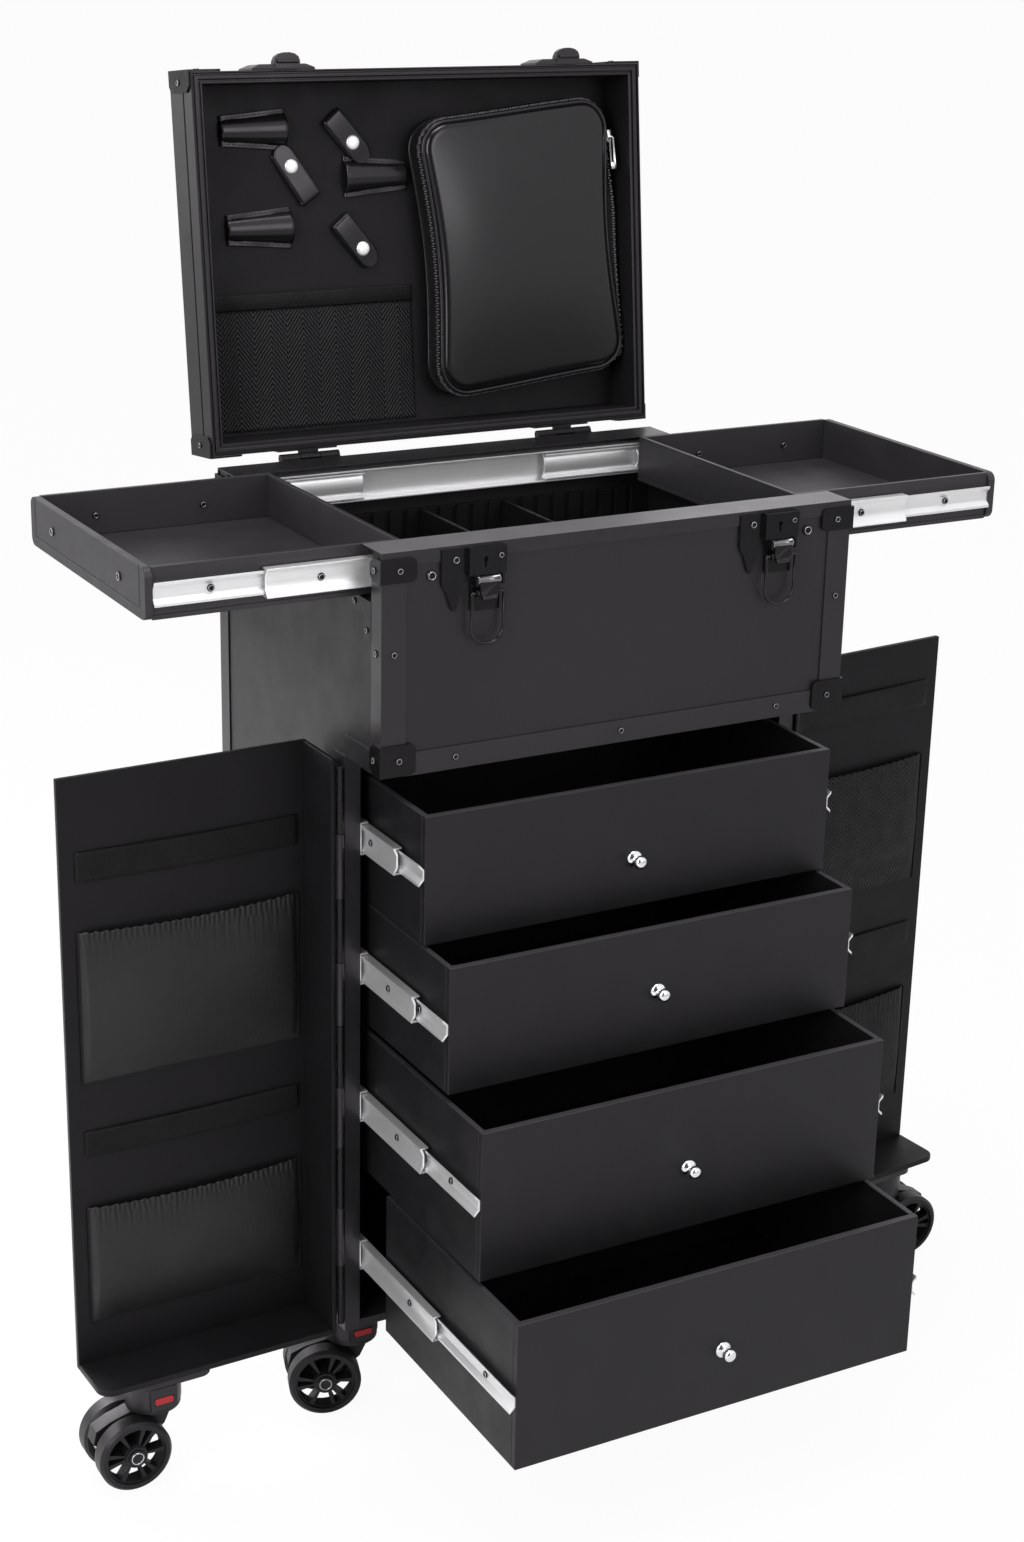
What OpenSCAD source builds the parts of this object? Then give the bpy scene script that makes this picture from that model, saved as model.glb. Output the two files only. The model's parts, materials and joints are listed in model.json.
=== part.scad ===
// Rolling makeup case: top box with lid and side trays, drawer cabinet, two deep doors, six casters.
// Millimetres, +Z up, floor at z = 0, front face towards -Y. It is shown standing open.

/* [Case] */
// Width of the case over its edge trims
case_w = 340; // [320:1:380]
// Depth of the top box, front to back
case_d = 250; // [240:1:290]
// Height of the top box from its underside to the rim
box_h = 141; // [130:1:180]
// Height of the drawer cabinet under the top box
cab_h = 414; // [410:1:460]
// Depth by which the top box stands out in front of the cabinet
overhang = 51; // [50:1:60]
// Thickness of the side panels
side_t = 10; // [8:0.5:10]
// Thickness of the front and back panels
wall_t = 13.5; // [12:0.5:14]
// Thickness of the cabinet base panel
base_t = 6; // [5:0.5:7]
// Thickness of the top box floor
box_floor_t = 8; // [6:0.5:12]
// Thickness of the aluminium trims
trim_t = 1; // [0.8:0.1:1.2]
// Leg of the trims on the front and back faces
trim_leg = 17; // [14:1:20]
// Leg of the trims on the side faces
trim_side_leg = 14; // [10:1:14]
// Depth of the rim caps, front and back
rim_d = 27; // [26:0.5:30]
// Height of the front leg of a rim cap
rim_leg = 9; // [6:0.5:12]
// Distance from the origin forward to the front face
front_offset = 76; // [60:1:90]
// Hairline between pieces that are joined edge to edge
seam = 0.1; // [0.05:0.05:0.2]

/* [Well] */
// Thickness of the slotted liners
liner_t = 4.5; // [3:0.5:6]
// Spacing of the liner slots
slot_pitch = 13; // [10:1:20]
// Width of a liner slot
slot_w = 3.4; // [3:0.1:4]
// Thickness of a divider
divider_t = 3; // [2:0.1:3]
// Slots that hold the dividers, counted from the middle
divider_slots = [-2, 3]; // [-8:1:8]

/* [Trays] */
// Height of a side tray
tray_h = 32; // [28:1:36]
// Length of a side tray with its end panel
tray_len = 165; // [150:1:166]
// Thickness of the tray walls and floor
tray_wall = 3; // [2:0.5:4]
// Thickness of the tray end panel
tray_end_t = 5; // [4:0.5:6]
// Distance that the end panel reaches past the tray sides
end_over = 2.3; // [2:0.1:2.5]
// Corner radius of the end panel
end_r = 6; // [6:0.5:8]
// Side clearance of a tray between the rim caps
tray_gap = 0.5; // [0.3:0.1:1]
// Distance that the left tray is pulled out
left_tray_out = 139; // [0:1:150]
// Distance that the right tray is pulled out
right_tray_out = 139; // [0:1:150]
// Distance that the left middle rails are pulled out
left_mid_out = 71; // [0:1:100]
// Distance that the right middle rails are pulled out
right_mid_out = 67; // [0:1:100]
// Drop of the tray rails' centre line under the rim
tray_rail_drop = 16; // [14:0.5:18]

/* [Drawers] */
// Space beside a drawer for its slide
drawer_rail_t = 9; // [9:0.5:12]
// Shares of the drawers in the height of the stack, top to bottom
drawer_share = [5, 5, 6, 6]; // [3:0.5:9]
// Clearance over the top drawer
drawer_top_gap = 21; // [10:1:40]
// Gaps under the drawers, top to bottom
drawer_gap = [2, 6, 4, 1]; // [1:0.5:8]
// Distances that the drawers are pulled out
drawer_out = [72.6, 106.9, 151.9, 201.6]; // [0:0.1:205]
// Distances that the drawers' middle rails are pulled out
drawer_mid_out = [45, 71, 85, 105]; // [0:1:110]
// Heights of the rail centres above the drawer bottoms
rail_up = [47, 44, 53, 48]; // [30:1:60]
// Heights of the knobs above the drawer bottoms
knob_up = [33, 41, 44, 44]; // [30:1:60]
// Thickness of the drawer fronts
drawer_front_t = 5; // [4:0.5:8]
// Thickness of the drawer sides, backs and bottoms
drawer_wall = 4; // [3:0.5:6]
// Clearance behind a closed drawer
drawer_back_gap = 4; // [2:0.5:8]
// Diameter of a knob's ball
knob_d = 13; // [10:0.5:16]
// Diameter of a knob's base
knob_base_d = 12; // [10:0.5:18]
// Distance that a knob stands out
knob_l = 18; // [15:0.5:24]

/* [Slide rails] */
// Height of the outer rails
rail_h = 22; // [21:0.5:23]
// Height of the middle rails
mid_h = 18; // [17.8:0.1:18.4]
// Height of the inner rails
inner_h = 15; // [14.5:0.1:15.2]
// Depth of the inner rails
inner_depth = 3.9; // [3.5:0.1:4]
// Distance of the rail screws from the rail ends
rail_screw_in = 36; // [25:1:50]
// Thickness of the rail sheet
rail_t = 1.2; // [1:0.1:1.2]
// Running gap between nested rails
rail_gap = 0.4; // [0.3:0.1:0.6]

/* [Doors] */
// Thickness of the door panels
door_t = 4; // [3:0.5:6]
// Thickness of the doors' hinge side walls
door_wall_t = 3; // [2.5:0.5:4]
// Thickness of the door floors
door_floor_t = 4; // [3:0.5:5]
// Radius of the floors' outer front corners
door_floor_r = 10; // [4:1:16]
// Distance that a closed door stays behind the front face
door_recess = 6; // [4:0.5:8]
// Clearance of the doors under the top box
door_top_gap = 2; // [2:0.5:4]
// Half of the gap between the closed doors
door_meet = 1; // [0.5:0.5:3]
// Clearance of a closed door from the cabinet edge
door_gap = 0.5; // [0.5:0.1:1]
// Distance of the hinge axes from the case side
hinge_off = 3; // [2.8:0.1:4]
// Angle of the left door past straight
left_door_over = -1.5; // [-20:0.5:6]
// Angle of the right door past straight
right_door_over = 6; // [-20:0.5:6]
// Thickness of the pockets
pocket_t = 4; // [2:0.5:8]
// Thickness of the elastic bands
band_t = 1.5; // [1:0.1:3]

/* [Hinges] */
// Radius of the door hinge barrels
barrel_r = 2.4; // [2:0.1:2.6]
// Radius of the hinge pins
pin_r = 1.3; // [1:0.1:1.4]
// Radial running clearance of pins
pin_gap = 0.06; // [0.02:0.01:0.1]
// Thickness of the hinge leaves
leaf_t = 1.2; // [0.8:0.1:1.4]
// Width of the door hinge leaves
leaf_w = 16; // [12:1:20]
// Number of door hinge knuckles
knuckles = 9; // [5:2:13]
// End gap between knuckles
knuckle_gap = 0.4; // [0.3:0.1:0.6]
// Length of a lid hinge
lid_hinge_l = 44; // [36:1:60]
// Distance of the lid hinges from the case sides
lid_hinge_in = 70; // [50:1:90]
// Radius of the lid hinge barrels
lid_barrel_r = 3; // [2.5:0.1:3.4]
// Height of the lid hinge leaves
lid_leaf_h = 20; // [14:1:24]

/* [Lid] */
// Height of the lid
lid_h = 38; // [34:1:50]
// Thickness of the lid frame
lid_wall = 8; // [6:0.5:10]
// Thickness of the lid panel
lid_top_t = 4; // [3:0.5:6]
// Gap between the closed lid and the rim
lid_gap = 0.6; // [0.4:0.1:1.5]
// Angle that the open lid leans back past upright
lid_lean = 6.3; // [0:0.1:12]
// Distance of the lid hinge axis behind the back face
lid_hinge_back = 5.5; // [4.5:0.1:7]
// Thickness of the zip bag
bag_t = 26; // [18:1:28]
// Space beside the zip bag in its half of the lid
bag_side = 16; // [14:1:30]
// Space above and below the zip bag
bag_end = 29; // [24:1:40]
// Distance that the bag's sides draw in
bag_waist = 8; // [2:0.5:10]
// Turn of the zip bag on the lid, degrees
bag_turn = 3.4; // [0:0.2:3.6]
// Corner radius of the zip bag
bag_r = 24; // [16:1:30]
// Height of the tool holsters over the lid's inner face
holster_t = 7; // [5:0.5:10]
// Thickness of the folded snap straps
strap_t = 3; // [2:0.5:4]
// Thickness of the mesh pocket
mesh_t = 4; // [2:0.5:6]
// Thickness of the mesh pocket's binding
bind_t = 5.5; // [3:0.5:7]
// Height of the mesh pocket's binding
bind_h = 9; // [6:0.5:12]

/* [Latches] */
// Distance of the latch plates from the case sides
latch_in = 63; // [50:1:80]
// Width of the wire bails between wire centres
bail_w = 22; // [21:0.5:26]
// Length of the wire bails
bail_l = 32; // [28:1:34]
// Diameter of the bail wire
bail_d = 2.2; // [1.8:0.1:2.4]
// Length of the lever below its pivot
lever_l = 18; // [15:1:20]
// Width of the lever
lever_w = 16; // [14:0.5:16]

/* [Casters] */
// Height of a caster from the floor to its plate
caster_h = 75; // [72:1:85]
// Wheel diameter
wheel_d = 50; // [46:1:52]
// Width of one wheel
wheel_w = 14; // [10:0.5:16]
// Gap between the twin wheels
wheel_gap = 16; // [14:0.5:20]
// Distance of the axle behind the swivel axis
trail = 20; // [16:0.5:22]
// Radius of the axle
axle_r = 4; // [3:0.1:4.5]
// Length of the socket plate
socket_l = 56; // [50:1:64]
// Width of the socket plate
socket_w = 40; // [38:1:44]
// Thickness of the socket plate
socket_t = 4; // [3:0.5:5]
// Radius of the socket housing
housing_r = 19; // [17:0.5:19.5]
// Height of the socket housing
housing_h = 16; // [14:0.5:18]
// Radius of the swivel stem
stem_r = 6; // [5:0.1:7]
// Running gap between the socket and the fork
swivel_gap = 0.3; // [0.3:0.1:0.5]
// Width of the release button
button_w = 13; // [11:0.5:14]
// Height of the release button
button_h = 4.5; // [3:0.5:7]
// Travel of the release button
button_travel = 2.5; // [2:0.1:3]
// Clearance round the release button
button_gap = 0.3; // [0.2:0.1:0.5]
// Distance of the cabinet casters from the case sides
caster_in = 20; // [20:1:30]
// Distance of the front casters behind the cabinet front
caster_front = 34; // [30:1:60]
// Distance of the rear casters before the back face
caster_back = 45; // [30:1:60]
// Distance of a door caster from the door's free edge
door_caster_in = 43; // [32:1:60]
// Distance of a door caster behind the hinge plane
door_caster_t = 21; // [20.5:0.5:24]

/* [Hidden] */
$fn = 48;

// Colours
black_panel = [0.055, 0.055, 0.06];
black_trim = [0.09, 0.09, 0.1];
black_steel = [0.07, 0.07, 0.075];
black_cloth = [0.05, 0.05, 0.055];
black_rubber = [0.06, 0.06, 0.06];
zinc = [0.75, 0.76, 0.78];
red_button = [0.6, 0.06, 0.06];

// Main heights, depths and widths
z_cab = caster_h;
z_box = z_cab + cab_h;
z_rim = z_box + box_h;
z_side_top = z_rim - tray_h - 1;
y_f = -front_offset;
y_b = y_f + case_d;
y_cab = y_f + overhang;
half_w = case_w / 2;
out_x = half_w - trim_t;
in_x = out_x - side_t;
y_front_in = y_f + trim_t + wall_t;
y_back_in = y_b - trim_t - wall_t;
eps = 0.01;

// Tray places
y_t0 = y_f + rim_d + tray_gap;
y_t1 = y_b - rim_d - tray_gap;
z_t0 = z_rim - tray_h;
z_tray_rail = z_rim - tray_rail_drop;
tray_rail_t = y_t0 - y_front_in;
// Closed place of the rails' outer ends and the half gap between facing rails
x_rail_end = half_w - tray_end_t - 1;
rail_meet = 2;

// Drawer places
drawer_d = y_back_in - drawer_back_gap - y_cab;
drawer_w = 2 * (in_x - drawer_rail_t);
function total(list, i = 0) = i == len(list) ? 0 : list[i] + total(list, i + 1);
drawer_stack = cab_h - base_t - drawer_top_gap - total(drawer_gap);
function drawer_h(i) = drawer_stack * drawer_share[i] / total(drawer_share);
function drawer_z(i) = i == 3 ? z_cab + base_t + drawer_gap[3]
    : drawer_z(i + 1) + drawer_h(i + 1) + drawer_gap[i];
function drawer_y(i) = y_cab - drawer_out[i];

// Door places, in each door's own frame: s runs out from the hinge axis, t runs back
hinge_x = half_w + hinge_off;
door_d = overhang - door_recess;
door_len = hinge_x - door_meet;
z_door_top = z_box - door_top_gap;
door_over = [left_door_over, right_door_over];
function door_point(k, s, t) =
    let (a = door_over[k], m = k == 0 ? -1 : 1)
    [m * (hinge_x + s * cos(a) - t * sin(a)), y_cab + s * sin(a) + t * cos(a)];
door_h = z_door_top - z_cab;
door_caster_s = door_len - door_caster_in;
// Pockets and bands on the doors: foot and height of each as shares of the door's height
left_pockets = [[0.5, 0.2525], [0.08, 0.2063]];
left_bands = [[0.8325, 0.0485], [0.3738, 0.0437]];
right_pockets = [[0.5437, 0.2427], [0.1044, 0.2233]];
right_bands = [[0.8762, 0.0485], [0.415, 0.0437]];
pocket_inset = 10;

// Lid places in the closed position
y_lid_hinge = y_b + lid_hinge_back;
z_lid_hinge = z_rim + lid_gap / 2;
z_lid = z_rim + lid_gap;
z_lid_in = z_lid + lid_h - lid_top_t;
lid_groove_z = 16;
lid_groove = 1;
lid_hinge_x = half_w - lid_hinge_in;
// Zip bag and mesh pocket: sizes and middles, across and up from the hinge edge
bag_w = half_w - bag_side;
bag_l = case_d - 2 * bag_end;
bag_x = half_w - lid_wall - 5 - bag_w / 2;
bag_v = case_d / 2 + 1;
mesh_w = half_w - 12;
mesh_h = 0.336 * case_d;
mesh_x = mesh_w / 2 + lid_wall + 3 - half_w;
mesh_v = mesh_h / 2 + lid_wall + 3;
// Tool holsters as shares of the lid's half width and depth: across, up from the hinge edge, turn
holsters = [[-0.6765, 0.848, 0], [-0.147, 0.716, 180], [-0.6706, 0.588, 0]];
// Snap straps likewise: across, up, turn, and as shares of the half width the length and the snap's place
straps = [[-0.506, 0.73, -57, 0.253, -0.035], [-0.265, 0.82, -50, 0.241, 0.024],
    [-0.247, 0.54, -51, 0.241, 0.035]];

// Latch places, measured from the front face and the rim
latch_x = half_w - latch_in;
latch_shift = 6.5;
lever_drop = 22;
lever_out = 4.6;
lever_half_t = 2.2;
lever_head_r = 2.6;
lever_pin_r = 1.5;
bail_pivot = 8;
plate_t = 1.2;
lock_out = 5;
lock_drop = 19;
ear_gap = 0.3;
ear_t = 1.5;
z_lever = z_rim - lever_drop;
y_lever = y_f - lever_out;
function latch_c(k) = (k == 0 ? -1 : 1) * latch_x + latch_shift;

// Caster places: [x, y, yaw of the trail, turn of the socket, plate shift]
wheel_r = wheel_d / 2;
z_housing = caster_h - socket_t - housing_h;
plate_shift = 8;
caster_x = half_w - caster_in;
left_door_spot = door_point(0, door_caster_s, door_caster_t);
right_door_spot = door_point(1, door_caster_s, door_caster_t);
casters = [
    [-caster_x, y_cab + caster_front, 162, 0, plate_shift],
    [caster_x, y_cab + caster_front, 0, 0, -plate_shift],
    [-caster_x, y_b - caster_back, 90, 180, -plate_shift],
    [caster_x, y_b - caster_back, 90, 180, plate_shift],
    [left_door_spot[0], left_door_spot[1], 180, -left_door_over, plate_shift],
    [right_door_spot[0], right_door_spot[1], 0, right_door_over + 180, plate_shift]];

// Rectangle with round corners, centred
module round_rect(w, h, r) {
    square([w - 2 * r, h], center = true);
    square([w, h - 2 * r], center = true);
    for (sx = [-1, 1], sy = [-1, 1])
        translate([sx * (w / 2 - r), sy * (h / 2 - r)]) circle(r);
}

// Rivet or screw head standing up from z = 0
module head(r, h) {
    translate([0, 0, seam]) rotate_extrude() polygon([[0, 0], [r, 0], [r, 0.4 * h], [0.7 * r, h], [0, h]]);
}

module on_front(x, y, z) {
    translate([x, y, z]) rotate([90, 0, 0]) children();
}

module on_back(x, y, z) {
    translate([x, y, z]) rotate([-90, 0, 0]) children();
}

module on_side(sx, x, y, z) {
    translate([sx * x, y, z]) rotate([0, sx * 90, 0]) children();
}

module both_sides() {
    children();
    mirror([1, 0, 0]) children();
}

// Box from two corners
module block(a, b) {
    translate(a) cube(b - a);
}

// Sheet rail along +X from the upper half of its profile: distance from the wall, height
module rail(len, half) {
    rotate([90, 0, 90]) linear_extrude(len) {
        polygon(half);
        mirror([0, 1]) polygon(half);
    }
}

// Screw heads on a rail web whose outer face stands n from the wall
module rail_screws(len, n) {
    for (x = [rail_screw_in, len - rail_screw_in])
        translate([x, n, 0]) rotate([90, 0, 0]) head(2.4, 1.1);
}

// Channel on the wall, open towards the moving box
module outer_rail(len, t) {
    h = rail_h / 2;
    lip = t - 3;
    rail(len, [[0, -1], [0, h], [lip, h], [lip, h - rail_t], [rail_t, h - rail_t], [rail_t, -1]]);
}

// Middle member: recessed web, sloped lips towards the wall, flanges round the inner rail
module mid_rail(len, t) {
    h = mid_h / 2;
    web = t - inner_depth - rail_gap - rail_t;
    lip = max(rail_t + rail_gap, web - 2.6);
    back = t - rail_t - rail_gap;
    web_h = 0.4 * h;
    rail(len, [[web, -1], [web, web_h], [lip, h - rail_t], [lip, h], [back, h], [back, h - rail_t],
        [lip + 1.4 * rail_t, h - rail_t], [web + rail_t, web_h + rail_t / 2], [web + rail_t, -1]]);
    rail_screws(len, web);
}

// Inner member: web against the moving box, sloped lips towards the wall
module inner_rail(len, t) {
    h = inner_h / 2;
    lip = t - inner_depth;
    web_h = 0.46 * h;
    rail(len, [[t, -1], [t, web_h], [lip, h], [lip, h - 1.5 * rail_t], [t - rail_t, web_h - rail_t / 2],
        [t - rail_t, -1]]);
    rail_screws(len, t - rail_t);
}

// Rails of a tray, on the front wall and on the back wall
module tray_rail_pair(x0) {
    translate([x0, y_front_in, z_tray_rail]) children();
    translate([x0, y_back_in, z_tray_rail]) mirror([0, 1, 0]) children();
}

// Rails of a drawer, on both cabinet sides
module drawer_rail_pair(i, y0) {
    both_sides()
        translate([-in_x, y0, drawer_z(i) + rail_up[i]]) mirror([1, -1, 0]) children();
}

module side_walls() {
    color(black_panel) both_sides() {
        block([in_x, y_cab + trim_t, z_cab], [out_x, y_b - trim_t, z_box]);
        block([in_x, y_f + trim_t, z_box], [out_x, y_b - trim_t, z_side_top]);
    }
}

module front_wall() {
    color(black_panel) {
        block([-in_x, y_f + trim_t, z_box], [in_x, y_front_in, z_side_top]);
        block([-out_x, y_f + trim_t, z_side_top], [out_x, y_front_in, z_rim - trim_t]);
    }
}

module back_wall() {
    color(black_panel) {
        block([-in_x, y_back_in, z_cab], [in_x, y_b - trim_t, z_side_top]);
        block([-out_x, y_back_in, z_side_top], [out_x, y_b - trim_t, z_rim - trim_t]);
    }
}

module floor_panels() {
    color(black_panel) {
        block([-in_x, y_cab + trim_t, z_cab], [in_x, y_back_in, z_cab + base_t]);
        block([-in_x, y_front_in, z_box], [in_x, y_back_in, z_box + box_floor_t]);
    }
}

// Angle trim with one leg on the front or back face and one on the side face, right hand side
module corner_angle(y_face, dir, z0, z1) {
    difference() {
        translate([half_w - trim_leg, min(y_face, y_face + dir * trim_side_leg), z0])
            cube([trim_leg, trim_side_leg, z1 - z0]);
        translate([half_w - trim_leg - 1,
                min(y_face + dir * trim_t, y_face + dir * (trim_side_leg + 1)), z0 - 1])
            cube([trim_leg - trim_t + 1, trim_side_leg - trim_t + 1, z1 - z0 + 2]);
    }
}

// Cap over the rim with a leg down the outer face
module rim_cap(y_face, dir) {
    difference() {
        translate([-half_w, min(y_face, y_face + dir * rim_d), z_rim - rim_leg])
            cube([case_w, rim_d, rim_leg]);
        translate([-half_w - 1, min(y_face + dir * trim_t, y_face + dir * (rim_d + 1)), z_rim - rim_leg - 1])
            cube([case_w + 2, rim_d - trim_t + 1, rim_leg - trim_t + 1]);
    }
}

module edge_trims() {
    rivet_r = 2.3;
    rivet_h = 0.8;
    foot_trim = 14;
    color(black_trim) {
        rim_cap(y_f, 1);
        rim_cap(y_b, -1);
        both_sides() {
            corner_angle(y_f, 1, z_box, z_rim - rim_leg - seam);
            corner_angle(y_b, -1, z_cab, z_rim - rim_leg - seam);
            // cabinet front edge
            difference() {
                block([in_x, y_cab, z_cab], [half_w, y_cab + trim_side_leg, z_box - trim_t]);
                block([in_x - 1, y_cab + trim_t, z_cab - 1],
                    [out_x, y_cab + trim_side_leg + 1, z_box - trim_t + 1]);
            }
            // lower edge of the overhang, side
            difference() {
                block([half_w - foot_trim, y_f + trim_side_leg + seam, z_box - trim_t],
                    [half_w, y_cab - seam, z_box + foot_trim]);
                block([half_w - foot_trim - 1, y_f, z_box], [out_x, y_cab + 1, z_box + foot_trim + 1]);
            }
            // lower edge of the cabinet, side
            block([out_x, y_cab + trim_side_leg + seam, z_cab],
                [half_w, y_b - trim_side_leg - seam, z_cab + foot_trim]);
        }
        // lower edge of the top box, front
        difference() {
            block([-half_w + trim_leg + seam, y_f, z_box - trim_t],
                [half_w - trim_leg - seam, y_f + trim_side_leg, z_box + foot_trim]);
            block([-half_w, y_f + trim_t, z_box], [half_w, y_f + trim_side_leg + 1, z_box + foot_trim + 1]);
        }
        // lower edge of the back
        block([-half_w + trim_leg + seam, y_b - trim_t, z_cab],
            [half_w - trim_leg - seam, y_b, z_cab + foot_trim]);
        // rivets along the trims
        for (sx = [-1, 1]) {
            on_front(sx * (half_w - trim_leg / 2), y_f, z_box + 0.55 * box_h) head(rivet_r, rivet_h);
            on_side(sx, half_w, y_f + trim_side_leg / 2, z_box + 0.55 * box_h) head(rivet_r, rivet_h);
            for (f = [0.3, 0.75])
                on_back(sx * (half_w - trim_leg / 2), y_b, z_cab + f * cab_h) head(rivet_r, rivet_h);
        }
        for (f = [-0.7, 0, 0.7])
            on_front(f * half_w, y_f, z_box + foot_trim / 2) head(rivet_r, rivet_h);
    }
}

// Sheet plate round the front or back right hand corner, with a rivet in each leaf
module corner_plate(y_face, dir, z0, h) {
    leaf_front = 23;
    leaf_side = 13;
    t = 1.5;
    r = 4;
    difference() {
        union() {
            translate([half_w - leaf_front / 2, y_face, z0 + h / 2]) rotate([dir * 90, 0, 0])
                linear_extrude(t) round_rect(leaf_front, h, r);
            translate([half_w - r, min(y_face, y_face - dir * t), z0]) cube([r + t, t, h]);
            translate([half_w, min(y_face - dir * t, y_face + dir * leaf_side), z0])
                cube([t, leaf_side + t, h]);
        }
        // corners of the side leaf cut off
        for (z = [0, 1])
            translate([half_w - 1, y_face + dir * leaf_side, z0 + z * h]) rotate([0, 90, 0])
                cylinder(r = r, h = t + 2, $fn = 4);
    }
    translate([half_w - leaf_front / 2, y_face - dir * t, z0 + h / 2]) rotate([dir * 90, 0, 0])
        head(2.3, 0.8);
    on_side(1, half_w + t, y_face + dir * 0.5 * leaf_side, z0 + h / 2) head(2.3, 0.8);
}

// Keyhole drawn in the plane
module keyhole() {
    circle(1.6);
    translate([-0.6, -5]) square([1.2, 5]);
}

// Outline of a latch's wing, square at the top and drawn in to a rounded tip below
module wing(w, h) {
    polygon([[0, 0], [w, 0], [w, -0.49 * h], [0.84 * w, -0.67 * h], [0.72 * w, -0.85 * h],
        [0.65 * w, -0.96 * h], [0.56 * w, -h], [0.47 * w, -0.985 * h], [0.38 * w, -0.9 * h],
        [0.28 * w, -0.77 * h], [0.19 * w, -0.67 * h], [0.05 * w, -0.59 * h], [0, -0.51 * h]]);
}

// Fixed plate of a latch: wing, lock box, back plate and ears with the lever's pin
module latch_base(k) {
    c = latch_c(k);
    wing_w = 16;
    wing_h = 39;
    wing_top = 2;
    arm_h = 15;
    lock_x = -13;
    wing_x = lock_x - wing_w - 1;
    lock_w = 25.5;
    lock_h = lock_drop - 2;
    key_x = -2;
    key_drop = 9;
    key_d = 2;
    ear_x = lever_w / 2 + ear_gap;
    ear_h = 6;
    difference() {
        union() {
            on_front(c + wing_x, y_f, z_rim - wing_top) linear_extrude(plate_t) wing(wing_w, wing_h);
            translate([c + wing_x, y_f - plate_t, z_rim - lock_drop])
                cube([lock_x + lock_w - wing_x, plate_t, arm_h]);
            translate([c + lock_x, y_f - lock_out, z_rim - lock_drop])
                cube([lock_w, lock_out, lock_h]);
            translate([c - ear_x - ear_t, y_f - plate_t, z_lever - lever_l - 2])
                cube([2 * (ear_x + ear_t), plate_t, lever_l + 6]);
            for (sx = [-1, 1])
                translate([c + sx * (ear_x + ear_t / 2) - ear_t / 2, y_lever - ear_h / 2,
                        z_lever - ear_h / 2])
                    cube([ear_t, lever_out + ear_h / 2, ear_h]);
            translate([c - ear_x - ear_t, y_lever, z_lever]) rotate([0, 90, 0])
                cylinder(r = lever_pin_r, h = 2 * (ear_x + ear_t));
        }
        on_front(c + key_x, y_f - lock_out + key_d, z_rim - key_drop) linear_extrude(key_d + 1) keyhole();
    }
    on_front(c + wing_x + 0.6 * wing_w, y_f - plate_t, z_rim - wing_top - 0.17 * wing_h) head(2.6, 0.9);
    on_front(c + lock_x + 0.84 * lock_w, y_f - lock_out, z_rim - 0.4 * lock_drop) head(2, 0.8);
}

// Length of one door hinge knuckle and its foot height
z_knuckle0 = z_cab + 8;
knuckle_l = (z_door_top - 6 - z_knuckle0) / knuckles;
function knuckle_z(i) = z_knuckle0 + i * knuckle_l;

// Half of a door hinge in the door frame: solid knuckles with a pin, or bored knuckles
module hinge_half(first, solid) {
    clear = barrel_r + knuckle_gap;
    leaf_s = hinge_off - leaf_t;
    difference() {
        union() {
            translate([leaf_s, clear, z_knuckle0])
                cube([leaf_t, leaf_w - clear, knuckles * knuckle_l - knuckle_gap]);
            for (i = [first : 2 : knuckles - 1]) {
                translate([0, 0, knuckle_z(i)]) cylinder(r = barrel_r, h = knuckle_l - knuckle_gap);
                translate([leaf_s, 0, knuckle_z(i)])
                    cube([leaf_t, clear + eps, knuckle_l - knuckle_gap]);
            }
            if (solid)
                translate([0, 0, z_knuckle0])
                    cylinder(r = pin_r, h = knuckles * knuckle_l - knuckle_gap);
        }
        if (!solid)
            translate([0, 0, z_knuckle0 - 1]) cylinder(r = pin_r + pin_gap, h = knuckles * knuckle_l + 2);
    }
}

// Half of a lid hinge in the closed position: end knuckles with the pin, or the bored middle knuckle
module lid_hinge_half(x, on_lid) {
    part_l = lid_hinge_l / 3;
    dir = on_lid ? 1 : -1;
    web_h = 2.6;
    for_x = on_lid ? [0] : [-1, 1];
    difference() {
        union() {
            translate([x - lid_hinge_l / 2, y_b, on_lid ? z_lid_hinge + 2 : z_lid_hinge - 2 - lid_leaf_h])
                cube([lid_hinge_l, leaf_t, lid_leaf_h]);
            for (k = for_x) {
                translate([x + k * part_l - part_l / 2 + knuckle_gap / 2, y_lid_hinge, z_lid_hinge])
                    rotate([0, 90, 0]) cylinder(r = lid_barrel_r, h = part_l - knuckle_gap);
                translate([x + k * part_l - part_l / 2 + knuckle_gap / 2, y_b,
                        dir > 0 ? z_lid_hinge + 0.4 : z_lid_hinge - 0.4 - web_h])
                    cube([part_l - knuckle_gap, lid_hinge_back, web_h]);
            }
            if (!on_lid)
                translate([x - lid_hinge_l / 2 + knuckle_gap, y_lid_hinge, z_lid_hinge]) rotate([0, 90, 0])
                    cylinder(r = pin_r, h = lid_hinge_l - 2 * knuckle_gap);
        }
        if (on_lid)
            translate([x - lid_hinge_l / 2, y_lid_hinge, z_lid_hinge]) rotate([0, 90, 0])
                cylinder(r = pin_r + pin_gap, h = lid_hinge_l);
    }
}

module door_frame(k) {
    mirror([k == 0 ? 1 : 0, 0, 0])
        translate([hinge_x, y_cab, 0]) rotate([0, 0, door_over[k]]) children();
}

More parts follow.
